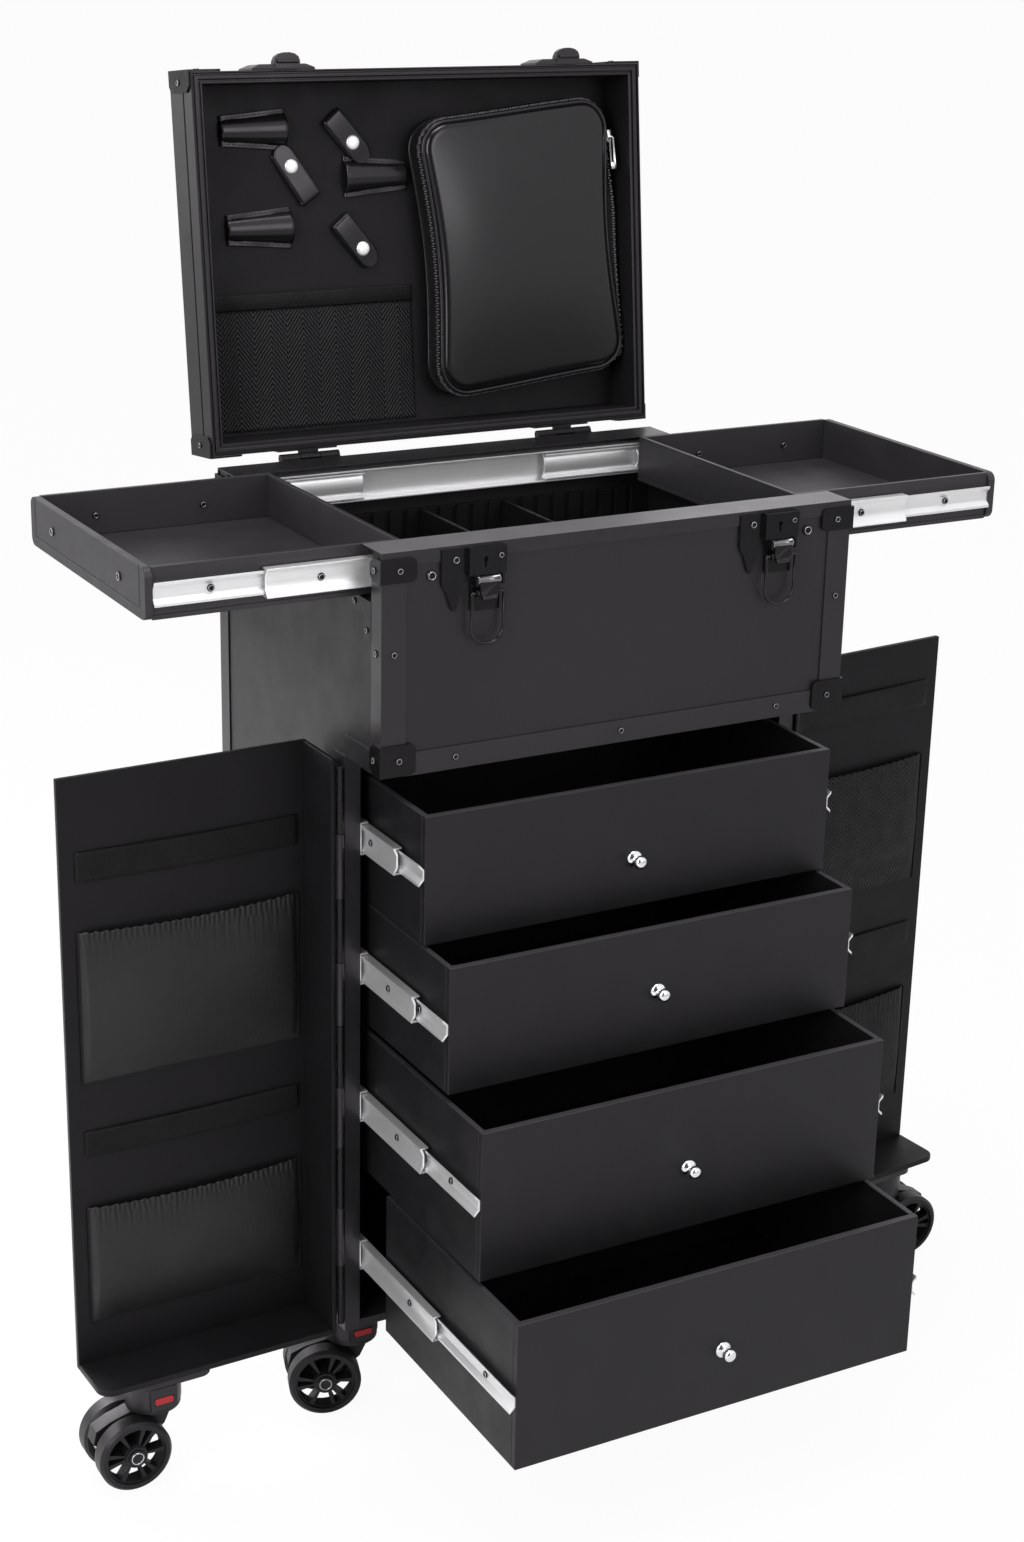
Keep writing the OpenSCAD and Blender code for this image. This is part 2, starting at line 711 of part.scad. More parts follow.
module case_fittings() {
    bracket_t = 1.2;
    bracket_l = 32;
    bracket_h = 26;
    leg_w = 10;
    arm_h = 9;
    color(black_steel) {
        both_sides() {
            corner_plate(y_f, 1, z_rim - 19, 15);
            corner_plate(y_f, 1, z_box, 20);
            corner_plate(y_b, -1, z_rim - 22, 18);
            corner_plate(y_b, -1, z_cab, 20);
            // L bracket under the tray slides, front and back
            for (dir = [1, -1]) {
                y0 = dir > 0 ? y_f + trim_side_leg : y_b - trim_side_leg;
                difference() {
                    translate([out_x, min(y0, y0 + dir * bracket_l), z_side_top - bracket_h])
                        cube([bracket_t, bracket_l, bracket_h]);
                    translate([out_x - 1, min(y0 + dir * leg_w, y0 + dir * (bracket_l + 1)),
                            z_side_top - bracket_h - 1])
                        cube([bracket_t + 2, bracket_l - leg_w + 1, bracket_h - arm_h + 1]);
                }
                for (p = [[leg_w / 2, 0.73 * bracket_h], [0.69 * bracket_l, arm_h / 2]])
                    on_side(1, out_x + bracket_t, y0 + dir * p[0], z_side_top - p[1]) head(2, 0.8);
            }
            // screw beside the latch
            on_front(half_w - 33.5, y_f + trim_t, z_rim - 17) head(3.4, 1.6);
        }
        for (k = [0, 1])
            latch_base(k);
        for (m = [0, 1])
            mirror([m, 0, 0]) translate([hinge_x, y_cab, 0]) mirror([1, 0, 0]) hinge_half(0, true);
        for (sx = [-1, 1])
            lid_hinge_half(sx * lid_hinge_x, false);
    }
}

module well_dividers() {
    top = z_rim - tray_h - 6;
    bottom = z_box + box_floor_t;
    slots = floor((in_x - slot_pitch) / slot_pitch);
    slot_d = liner_t / 2;
    color(black_cloth) {
        for (dir = [1, -1]) {
            y_wall = dir > 0 ? y_front_in : y_back_in;
            difference() {
                translate([-in_x, min(y_wall, y_wall + dir * liner_t), bottom])
                    cube([2 * in_x, liner_t, top - bottom]);
                for (i = [-slots : slots])
                    translate([i * slot_pitch - slot_w / 2,
                            min(y_wall + dir * slot_d, y_wall + dir * (liner_t + 1)), bottom - 1])
                        cube([slot_w, liner_t - slot_d + 1, top - bottom + 2]);
            }
        }
        for (i = divider_slots)
            block([i * slot_pitch - divider_t / 2, y_front_in + slot_d + seam, bottom],
                [i * slot_pitch + divider_t / 2, y_back_in - slot_d - seam, top]);
    }
}

module fixed_rails() {
    color(zinc) {
        tray_rail_pair(-x_rail_end) outer_rail(2 * x_rail_end, tray_rail_t);
        for (i = [0 : 3])
            drawer_rail_pair(i, y_cab + trim_t) outer_rail(drawer_d - trim_t, drawer_rail_t);
    }
}

// Caster socket with its stem bore and button pocket, button facing -Y
module socket(shift) {
    boss_w = button_w + 5;
    boss_y = housing_r + 1.5;
    pocket_d = 5.5 + button_travel;
    difference() {
        union() {
            translate([shift, 0, caster_h - socket_t]) linear_extrude(socket_t)
                round_rect(socket_l, socket_w, 9);
            translate([0, 0, z_housing]) cylinder(r = housing_r, h = housing_h + eps);
            translate([-boss_w / 2, -boss_y, z_housing]) cube([boss_w, boss_y, housing_h + eps]);
        }
        translate([0, 0, z_housing - 1]) cylinder(r = stem_r + pin_gap, h = housing_h - 1);
        translate([-button_w / 2 - button_gap, -boss_y - 1, z_housing + 4.5 - button_gap])
            cube([button_w + 2 * button_gap, pocket_d + 1, button_h + 2 * button_gap]);
    }
}

// Release button, 0.8 mm proud of the socket
module button() {
    boss_y = housing_r + 1.5;
    translate([0, -boss_y - 0.8, z_housing + 4.5 + button_h / 2]) rotate([-90, 0, 0])
        linear_extrude(6) round_rect(button_w, button_h, 1.2);
}

// Swivelling fork between the wheels; the trail runs along +X
module fork() {
    web_t = wheel_gap - 4;
    cap_t = 1.2;
    z_top = z_housing - swivel_gap;
    disc_t = z_top - wheel_d - 0.5;
    reach = wheel_gap / 2 + wheel_w + swivel_gap;
    translate([0, 0, z_top - disc_t]) cylinder(r = housing_r - 0.5, h = disc_t);
    translate([0, 0, z_top - eps]) cylinder(r = stem_r, h = housing_h - 3);
    translate([0, web_t / 2, 0]) rotate([90, 0, 0]) linear_extrude(web_t)
        polygon([[-13, z_top - disc_t + eps], [-6, wheel_r + 10], [trail - 9, wheel_r - 5],
            [trail - 2, wheel_r - 8], [trail + 6, wheel_r - 6], [trail + 18, wheel_r + 1],
            [trail + 24, wheel_r + 7], [trail + 22, wheel_r + 16], [trail + 12, wheel_r + 21],
            [16, z_top - disc_t + eps]]);
    translate([trail, reach, wheel_r]) rotate([90, 0, 0]) cylinder(r = axle_r, h = 2 * reach);
    for (sy = [-1, 1])
        translate([trail, sy * reach, wheel_r]) rotate([-sy * 90, 0, 0])
            cylinder(r = axle_r + 1.5, h = cap_t);
}

// Window between two spokes, from angle a to angle b
module spoke_window(a, b) {
    r_in = 0.32 * wheel_r;
    r_out = 0.76 * wheel_r;
    intersection() {
        difference() {
            circle(r_out);
            circle(r_in);
        }
        polygon([[0, 0], wheel_r * [cos(a), sin(a)], wheel_r * [cos(b), sin(b)]]);
    }
}

// One wheel with three double spokes, inner face at z = 0
module wheel() {
    rim_r = 0.81 * wheel_r;
    hub_r = axle_r + 3.5;
    edge = 2;
    web_0 = 3;
    web_1 = wheel_w - 2;
    bore_r = axle_r + pin_gap;
    difference() {
        rotate_extrude() polygon([[bore_r, 0], [hub_r, 0], [hub_r, web_0], [rim_r, web_0], [rim_r, 0],
            [wheel_r - edge, 0], [wheel_r, edge], [wheel_r, wheel_w - edge], [wheel_r - edge, wheel_w],
            [rim_r, wheel_w], [rim_r, web_1], [hub_r, web_1], [hub_r, wheel_w], [bore_r, wheel_w]]);
        translate([0, 0, -1]) linear_extrude(wheel_w + 2)
            for (k = [0 : 2]) {
                spoke_window(120 * k - 7, 120 * k + 7);
                spoke_window(120 * k + 17, 120 * k + 55);
                spoke_window(120 * k + 65, 120 * k + 103);
            }
    }
}

module wheels() {
    for (sy = [-1, 1])
        translate([trail, sy * wheel_gap / 2, wheel_r]) rotate([-sy * 90, 0, 0]) wheel();
}

module caster_sockets() {
    color(black_steel)
        for (i = [0 : 3])
            translate([casters[i][0], casters[i][1], 0]) rotate([0, 0, casters[i][3]]) socket(casters[i][4]);
}

module caster_fork(i) {
    color(black_steel)
        translate([casters[i][0], casters[i][1], 0]) rotate([0, 0, casters[i][2]]) fork();
}

module caster_wheels(i) {
    color(black_rubber)
        translate([casters[i][0], casters[i][1], 0]) rotate([0, 0, casters[i][2]]) wheels();
}

module caster_button(i) {
    color(red_button)
        translate([casters[i][0], casters[i][1], 0]) rotate([0, 0, casters[i][3]]) button();
}

// Turns a closed lid piece to the open rest position
module lid_open() {
    translate([0, y_lid_hinge, z_lid_hinge]) rotate([-90 - lid_lean, 0, 0])
        translate([0, -y_lid_hinge, -z_lid_hinge]) children();
}

module lid_panel() {
    color(black_panel) lid_open()
        block([-half_w + lid_wall, y_f + lid_wall, z_lid_in],
            [half_w - lid_wall, y_b - lid_wall, z_lid + lid_h - trim_t / 2]);
}

module lid_frame() {
    z_top = z_lid + lid_h;
    z_cut = z_lid + lid_groove_z;
    color(black_trim) lid_open() {
        for (m = [0, 1])
            translate([0, m * (y_f + y_b), 0]) mirror([0, m, 0])
                difference() {
                    block([-half_w, y_f, z_lid], [half_w, y_f + lid_wall, z_top]);
                    block([-half_w - 1, y_f - 1, z_cut], [half_w + 1, y_f + lid_groove, z_cut + lid_groove]);
                }
        both_sides()
            difference() {
                block([half_w - lid_wall, y_f + lid_wall + seam, z_lid],
                    [half_w, y_b - lid_wall - seam, z_top]);
                block([half_w - lid_groove, y_f, z_cut], [half_w + 1, y_b, z_cut + lid_groove]);
            }
    }
}

// Hook that the wire bail drops over, on the lid's front face in the closed position
module lid_catch(x) {
    plate_w = 40;
    plate_h = 24;
    plate_x = x - 3;
    hook_w = 13;
    hook_out = 8.5;
    hook_t = 2.4;
    tip_t = 2;
    tip_h = 5;
    foot = z_lid + 1;
    translate([plate_x, y_f, foot + plate_h / 2]) rotate([90, 0, 0])
        linear_extrude(plate_t) round_rect(plate_w, plate_h, 4);
    translate([x - hook_w / 2, y_f - hook_out, foot]) cube([hook_w, hook_out, hook_t]);
    translate([x - hook_w / 2, y_f - hook_out, foot]) cube([hook_w, tip_t, tip_h]);
    for (dx = [-1, 1])
        on_front(plate_x + dx * 0.36 * plate_w, y_f - plate_t, foot + 0.6 * plate_h) head(2.2, 0.8);
}

module lid_fittings() {
    plate_in = 2;
    color(black_steel) lid_open() {
        both_sides() {
            corner_plate(y_f, 1, z_lid + plate_in, lid_h - 2 * plate_in);
            corner_plate(y_b, -1, z_lid + plate_in, lid_h - 2 * plate_in);
        }
        for (k = [0, 1])
            lid_catch(latch_c(k));
        for (sx = [-1, 1])
            lid_hinge_half(sx * lid_hinge_x, true);
    }
}

// Places a flat piece on the lid's inner face: x across, v up from the hinge edge, standing into the lid
module on_lid_face(x, v) {
    lid_open() translate([x, y_b - v, z_lid_in]) rotate([180, 0, 0]) children();
}

// Tapered tool holster, wide end towards +X
module holster() {
    len = 0.28 * half_w;
    wide = 0.165 * half_w;
    narrow = 0.118 * half_w;
    linear_extrude(holster_t) polygon([[-len / 2, -narrow / 2], [len / 2, -wide / 2],
        [len / 2, wide / 2], [-len / 2, narrow / 2]]);
}

// Snap strap with its button
module strap(len, snap) {
    strap_w = 0.088 * half_w;
    linear_extrude(strap_t) round_rect(len, strap_w, strap_w / 4);
    translate([snap, 0, strap_t]) head(4.6, 1.6);
}

module lid_organiser() {
    color(black_cloth) {
        for (p = holsters)
            on_lid_face(p[0] * half_w, p[1] * case_d) rotate([0, 0, p[2]]) holster();
        for (p = straps)
            on_lid_face(p[0] * half_w, p[1] * case_d) rotate([0, 0, p[2]])
                strap(p[3] * half_w, p[4] * half_w);
        on_lid_face(mesh_x, mesh_v) linear_extrude(mesh_t) square([mesh_w, mesh_h], center = true);
        on_lid_face(mesh_x, mesh_v + (mesh_h + bind_h) / 2 + seam)
            linear_extrude(bind_t) square([mesh_w, bind_h], center = true);
    }
}

// Bag outline: round corners, sides drawn in along wide arcs
module bag_outline() {
    chord = bag_l - 2 * bag_r;
    arc_r = (chord * chord / 4 + bag_waist * bag_waist) / (2 * bag_waist);
    difference() {
        round_rect(bag_w, bag_l, bag_r);
        for (sx = [-1, 1])
            translate([sx * (bag_w / 2 + arc_r - bag_waist), 0]) circle(arc_r);
    }
}

module zip_bag() {
    pull_w = 5;
    pull_l = 24;
    pull_t = 1.6;
    color(black_cloth) {
        on_lid_face(bag_x, bag_v) rotate(bag_turn) {
            linear_extrude(bag_t) bag_outline();
            translate([bag_w / 2 - 14, bag_l / 2 - 40, bag_t + seam]) linear_extrude(pull_t)
                round_rect(pull_w, pull_l, 2);
        }
    }
}

// Tray on the right hand side: floor, walls and end panel with a grooved border
module tray_box(out) {
    x1 = half_w + out;
    x0 = x1 - tray_len;
    x_end = x1 - tray_end_t;
    z_wall = z_t0 + tray_wall + seam;
    groove_in = 6;
    groove_d = 0.8;
    groove_w = 1.2;
    block([x0, y_t0, z_t0], [x_end - seam, y_t1, z_t0 + tray_wall]);
    block([x0, y_t0, z_wall], [x_end - seam, y_t0 + tray_wall, z_rim]);
    block([x0, y_t1 - tray_wall, z_wall], [x_end - seam, y_t1, z_rim]);
    block([x0, y_t0 + tray_wall + seam, z_wall], [x0 + tray_wall, y_t1 - tray_wall - seam, z_rim]);
    difference() {
        translate([x_end, (y_t0 + y_t1) / 2, z_t0 + tray_h / 2]) rotate([90, 0, 90])
            linear_extrude(tray_end_t) round_rect(y_t1 - y_t0 + 2 * end_over, tray_h, end_r);
        for (y = [y_t0 + groove_in, y_t1 - groove_in - groove_w])
            block([x1 - groove_d, y, z_t0 + groove_in], [x1 + 1, y + groove_w, z_rim + 1]);
        block([x1 - groove_d, y_t0 + groove_in, z_t0 + groove_in],
            [x1 + 1, y_t1 - groove_in, z_t0 + groove_in + groove_w]);
    }
}

// Screws of the right hand tray, in its end panel and through its rails
module tray_screws(out) {
    x1 = half_w + out;
    x0 = x1 - tray_len;
    y_len = y_t1 - y_t0;
    for (f = [0.2, 0.8])
        on_side(1, x1, y_t0 + f * y_len, z_t0 + 0.55 * tray_h) head(3, 1);
    for (f = [0.3, 0.75]) {
        on_back(x0 + f * tray_len, y_t0 + tray_wall, z_tray_rail) head(2.2, 1.6);
        on_front(x0 + f * tray_len, y_t1 - tray_wall, z_tray_rail) head(2.2, 1.6);
    }
}

module tray(k) {
    color(black_panel)
        mirror([k == 0 ? 1 : 0, 0, 0]) tray_box(k == 0 ? left_tray_out : right_tray_out);
}

module tray_fittings(k) {
    out = k == 0 ? left_tray_out : right_tray_out;
    len = tray_len - tray_end_t - seam;
    color(zinc) mirror([k == 0 ? 1 : 0, 0, 0]) {
        tray_rail_pair(half_w + out - tray_len) inner_rail(len, tray_rail_t);
        tray_screws(out);
    }
}

module tray_mid_rails(k) {
    out = k == 0 ? left_mid_out : right_mid_out;
    color(zinc) mirror([k == 0 ? 1 : 0, 0, 0])
        tray_rail_pair(rail_meet + out) mid_rail(x_rail_end - rail_meet, tray_rail_t);
}

module drawer(i) {
    w = drawer_w / 2;
    wi = w - drawer_wall - seam;
    y0 = drawer_y(i);
    y1 = y0 + drawer_d;
    z0 = drawer_z(i);
    z1 = z0 + drawer_h(i);
    ys = y0 + drawer_front_t;
    color(black_panel) {
        block([-w, y0, z0], [w, ys, z1]);
        both_sides()
            block([w - drawer_wall, ys + seam, z0], [w, y1, z1]);
        block([-wi, y1 - drawer_wall, z0], [wi, y1, z1]);
        block([-wi, ys + seam, z0], [wi, y1 - drawer_wall - seam, z0 + drawer_wall]);
    }
}

// Knob turned round its own axis, standing up from z = 0
module knob() {
    neck_r = 3;
    base_h = 3;
    ball_r = knob_d / 2;
    ball_z = knob_l - ball_r;
    rotate_extrude() polygon([[0, 0], [knob_base_d / 2, 0], [knob_base_d / 2, 0.6 * base_h],
        [neck_r, base_h], [neck_r, ball_z], [0, ball_z]]);
    translate([0, 0, ball_z]) sphere(ball_r);
}

module drawer_fittings(i) {
    y0 = drawer_y(i);
    len = drawer_d - 2;
    color(zinc) {
        drawer_rail_pair(i, y0 + 1) inner_rail(len, drawer_rail_t);
        on_front(0, y0, drawer_z(i) + knob_up[i]) knob();
    }
}

module drawer_mid_rails(i) {
    color(zinc)
        drawer_rail_pair(i, y_cab + trim_t - drawer_mid_out[i]) mid_rail(drawer_d - trim_t, drawer_rail_t);
}

// Flat sheet with one round corner, drawn in the plane
module corner_sheet(w, d, r) {
    translate([0, r]) square([w, d - r]);
    square([w - r, d]);
    translate([w - r, r]) circle(r);
}

// Door on hinge side k: outer panel, hinge side wall and floor
module door(k) {
    s0 = hinge_off;
    s1 = hinge_off + door_wall_t;
    t1 = door_d - door_t;
    color(black_panel) door_frame(k) {
        block([s0, t1, z_cab], [door_len, door_d, z_door_top]);
        block([s0, door_gap, z_cab], [s1, t1 - seam, z_door_top]);
        translate([s1 + seam, door_gap, z_cab]) linear_extrude(door_floor_t)
            corner_sheet(door_len - s1 - seam, t1 - seam - door_gap, door_floor_r);
    }
}

// Pockets and bands on the inner face of a door
module door_pockets(k) {
    t1 = door_d - door_t;
    s0 = hinge_off + door_wall_t + pocket_inset / 2;
    s1 = door_len - pocket_inset;
    pockets = k == 0 ? left_pockets : right_pockets;
    bands = k == 0 ? left_bands : right_bands;
    color(black_cloth) door_frame(k) {
        for (p = pockets)
            block([s0, t1 - pocket_t, z_cab + p[0] * door_h], [s1, t1, z_cab + (p[0] + p[1]) * door_h]);
        for (p = bands)
            block([s0, t1 - band_t, z_cab + p[0] * door_h], [s1, t1, z_cab + (p[0] + p[1]) * door_h]);
    }
}

module door_fittings(k) {
    i = 4 + k;
    color(black_steel) {
        door_frame(k) hinge_half(1, false);
        translate([casters[i][0], casters[i][1], 0]) rotate([0, 0, casters[i][3]]) socket(casters[i][4]);
    }
}

module latch_lever(k) {
    c = latch_c(k);
    pivot_gap = 0.08;
    stub = 2.2;
    color(black_steel) difference() {
        union() {
            translate([c - lever_w / 2, y_lever, z_lever]) rotate([0, 90, 0])
                cylinder(r = lever_head_r, h = lever_w);
            translate([c - lever_w / 2, y_lever - lever_half_t, z_lever - lever_l])
                cube([lever_w, 2 * lever_half_t, lever_l]);
        }
        translate([c - lever_w, y_lever, z_lever]) rotate([0, 90, 0])
            cylinder(r = lever_pin_r + pin_gap, h = 2 * lever_w);
        for (sx = [-1, 1])
            translate([c + sx * (lever_w / 2 - stub - 0.3), y_lever, z_lever - bail_pivot])
                rotate([0, sx * 90, 0]) cylinder(r = bail_d / 2 + pivot_gap, h = lever_w);
    }
}

// Wire bail hanging from the lever
module latch_bail(k) {
    c = latch_c(k);
    r = bail_d / 2;
    bend = 7;
    half = bail_w / 2;
    stub = half - lever_w / 2 + 2;
    color(black_steel) translate([c, y_lever, z_lever - bail_pivot]) {
        for (sx = [-1, 1]) {
            translate([sx * half, 0, 0]) sphere(r);
            translate([sx * half, 0, 0]) rotate([0, -sx * 90, 0]) cylinder(r = r, h = stub);
            translate([sx * half, 0, bend - bail_l]) cylinder(r = r, h = bail_l - bend);
            translate([sx * (half - bend), 0, bend - bail_l]) rotate([90, 0, 0])
                rotate([0, 0, sx > 0 ? -90 : 180]) rotate_extrude(angle = 90) translate([bend, 0]) circle(r);
        }
        translate([bend - half, 0, -bail_l]) rotate([0, 90, 0]) cylinder(r = r, h = bail_w - 2 * bend);
    }
}

side_walls();
front_wall();
back_wall();
floor_panels();
edge_trims();
case_fittings();
well_dividers();
fixed_rails();
caster_sockets();
lid_panel();
lid_frame();
lid_fittings();
lid_organiser();
zip_bag();
tray(0);  // left_tray
tray_fittings(0);  // left_tray_fittings
tray_mid_rails(0);  // left_tray_mid_rails
tray(1);  // right_tray
tray_fittings(1);  // right_tray_fittings
tray_mid_rails(1);  // right_tray_mid_rails
drawer(0);  // drawer_1
drawer_fittings(0);  // drawer_1_fittings
drawer_mid_rails(0);  // drawer_1_mid_rails
drawer(1);  // drawer_2
drawer_fittings(1);  // drawer_2_fittings
drawer_mid_rails(1);  // drawer_2_mid_rails
drawer(2);  // drawer_3
drawer_fittings(2);  // drawer_3_fittings
drawer_mid_rails(2);  // drawer_3_mid_rails
drawer(3);  // drawer_4
drawer_fittings(3);  // drawer_4_fittings
drawer_mid_rails(3);  // drawer_4_mid_rails
door(0);  // left_door
door_pockets(0);  // left_door_pockets
door_fittings(0);  // left_door_fittings
door(1);  // right_door
door_pockets(1);  // right_door_pockets
door_fittings(1);  // right_door_fittings
latch_lever(0);  // left_latch_lever
latch_bail(0);  // left_latch_bail
latch_lever(1);  // right_latch_lever
latch_bail(1);  // right_latch_bail
caster_fork(0);  // front_left_fork
caster_wheels(0);  // front_left_wheels
caster_button(0);  // front_left_button
caster_fork(1);  // front_right_fork
caster_wheels(1);  // front_right_wheels
caster_button(1);  // front_right_button
caster_fork(2);  // rear_left_fork
caster_wheels(2);  // rear_left_wheels
caster_button(2);  // rear_left_button
caster_fork(3);  // rear_right_fork
caster_wheels(3);  // rear_right_wheels
caster_button(3);  // rear_right_button
caster_fork(4);  // left_door_fork
caster_wheels(4);  // left_door_wheels
caster_button(4);  // left_door_button
caster_fork(5);  // right_door_fork
caster_wheels(5);  // right_door_wheels
caster_button(5);  // right_door_button
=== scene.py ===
import json
import math

import bmesh
import bpy
import numpy as np
from mathutils import Matrix, Vector

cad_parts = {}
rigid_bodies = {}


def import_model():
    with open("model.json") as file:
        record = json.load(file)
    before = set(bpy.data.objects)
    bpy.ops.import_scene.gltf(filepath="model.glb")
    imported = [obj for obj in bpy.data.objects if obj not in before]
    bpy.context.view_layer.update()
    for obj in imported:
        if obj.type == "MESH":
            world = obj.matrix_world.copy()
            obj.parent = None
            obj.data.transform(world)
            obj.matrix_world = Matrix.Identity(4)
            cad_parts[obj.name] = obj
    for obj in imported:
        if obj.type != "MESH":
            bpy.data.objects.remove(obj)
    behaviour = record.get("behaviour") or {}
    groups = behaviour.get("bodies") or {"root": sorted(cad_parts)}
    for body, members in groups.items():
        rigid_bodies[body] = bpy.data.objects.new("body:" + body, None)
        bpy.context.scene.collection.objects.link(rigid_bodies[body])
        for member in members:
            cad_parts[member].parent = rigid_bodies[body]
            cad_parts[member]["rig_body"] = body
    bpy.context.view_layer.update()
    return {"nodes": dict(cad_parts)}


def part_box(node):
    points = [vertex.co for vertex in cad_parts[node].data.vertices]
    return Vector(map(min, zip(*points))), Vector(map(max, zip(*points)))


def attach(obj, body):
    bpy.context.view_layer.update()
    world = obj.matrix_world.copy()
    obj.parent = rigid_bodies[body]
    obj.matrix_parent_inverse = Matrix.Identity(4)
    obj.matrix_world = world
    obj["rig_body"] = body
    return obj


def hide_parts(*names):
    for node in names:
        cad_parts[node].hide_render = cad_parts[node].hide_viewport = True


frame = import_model()
NODES = frame["nodes"]
scene = bpy.context.scene
scene.view_settings.view_transform = "Standard"
MM = 0.001

# Camera, solved from the corners of the case in the photo: rotation vector, place and focal length
CAMERA_TURN = Vector((1.8689, -0.4649, 0.3584))
CAMERA_AT = Vector((-0.82168, -1.40495, 1.01685))
LENS, SENSOR, FAR = 60.248, 36.0, 200
rot = Matrix.Rotation(CAMERA_TURN.length, 3, CAMERA_TURN.normalized())
right, down, ahead = rot[0], rot[1], rot[2]
cam_data = bpy.data.cameras.new("camera")
cam = bpy.data.objects.new("camera", cam_data)
scene.collection.objects.link(cam)
place = Matrix.Identity(4)
for i in range(3):
    place[i][0] = right[i]
    place[i][1] = -down[i]
    place[i][2] = -ahead[i]
place.translation = CAMERA_AT
cam.matrix_world = place
cam_data.sensor_fit = "VERTICAL"
cam_data.sensor_height = SENSOR
cam_data.lens = LENS
cam_data.clip_end = FAR
scene.camera = cam


# Materials: used range and roughness of the noise, ends of the ramp, clouds and grain of the coated ones
NOISE_LOW, NOISE_HIGH, NOISE_ROUGH = 0.3, 0.7, 0.55
RAMP_LOW, RAMP_HIGH = 0.35, 0.65
CLOUD, GRAIN_H = 9, 0.0003
FAINT_PURPLE, NEUTRAL = (1.0, 0.94, 1.0, 1.0), (1.0, 1.0, 1.0, 1.0)


def new_material(name):
    m = bpy.data.materials.new(name)
    m.use_nodes = True
    return m, m.node_tree.nodes, m.node_tree.links, m.node_tree.nodes["Principled BSDF"]


def put(nodes, kind, **values):
    n = nodes.new(kind)
    for k, v in values.items():
        n.inputs[k].default_value = v
    return n


def ranged(nodes, links, source, low, high, start=NOISE_LOW, end=NOISE_HIGH):
    ends = {"From Min": start, "From Max": end, "To Min": low, "To Max": high}
    n = put(nodes, "ShaderNodeMapRange", **ends)
    links.new(source, n.inputs["Value"])
    return n.outputs["Result"]


def math_node(nodes, links, op, *values):
    """Math node. A value is a number or the output of another node."""
    n = nodes.new("ShaderNodeMath")
    n.operation = op
    for socket, v in zip(n.inputs, values):
        if isinstance(v, float):
            socket.default_value = v
        else:
            links.new(v, socket)
    return n.outputs[0]


def two_tone(nodes, links, source, dark, light):
    ramp = nodes.new("ShaderNodeValToRGB")
    ramp.color_ramp.elements[0].position = RAMP_LOW
    ramp.color_ramp.elements[1].position = RAMP_HIGH
    ramp.color_ramp.elements[0].color = (*dark, 1)
    ramp.color_ramp.elements[1].color = (*light, 1)
    links.new(source, ramp.inputs["Fac"])
    return ramp.outputs["Color"]


def coords(nodes, links, stretch=(1, 1, 1), uv=False):
    tc = nodes.new("ShaderNodeTexCoord")
    mp = nodes.new("ShaderNodeMapping")
    mp.inputs["Scale"].default_value = stretch
    links.new(tc.outputs["UV" if uv else "Object"], mp.inputs["Vector"])
    return mp.outputs["Vector"]


def noise(nodes, links, vector, scale, detail):
    n = put(nodes, "ShaderNodeTexNoise", Scale=scale, Detail=detail, Roughness=NOISE_ROUGH)
    links.new(vector, n.inputs["Vector"])
    return n.outputs["Fac"]


def bump(nodes, links, bsdf, height, strength, distance):
    b = put(nodes, "ShaderNodeBump", Strength=strength, Distance=distance)
    links.new(height, b.inputs["Height"])
    links.new(b.outputs["Normal"], bsdf.inputs["Normal"])


def coated(name, tone, rough, spec, grain, depth, spread=0.25, metallic=0.0, rough_spread=0.06,
           stretch=(1, 1, 1)):
    """Coated, moulded or grained surface: clouded tone, uneven gloss and a fine grain."""
    m, nodes, links, bsdf = new_material(name)
    vec = coords(nodes, links, stretch)
    clouds = noise(nodes, links, vec, CLOUD, 4)
    tone = Vector(tone)
    shade = two_tone(nodes, links, clouds, tone * (1 - spread), tone * (1 + spread))
    links.new(shade, bsdf.inputs["Base Color"])
    patches = noise(nodes, links, vec, CLOUD * 5, 5)
    gloss = ranged(nodes, links, patches, rough - rough_spread, rough + rough_spread)
    links.new(gloss, bsdf.inputs["Roughness"])
    bsdf.inputs["Metallic"].default_value = metallic
    bsdf.inputs["Specular IOR Level"].default_value = spec
    bsdf.inputs["Specular Tint"].default_value = FAINT_PURPLE if metallic < 0.5 else NEUTRAL
    bump(nodes, links, bsdf, noise(nodes, links, vec, grain, 3), depth, GRAIN_H)
    return m


# Weave: wave scale of one thread per metre, height of the threads, roughness of the sheen, spread of tone
# and roughness
WAVE, WEAVE_H, SHEEN_ROUGH, WEAVE_SPREAD, WEAVE_ROUGH = 0.314, 0.0006, 0.35, 0.3, 0.08


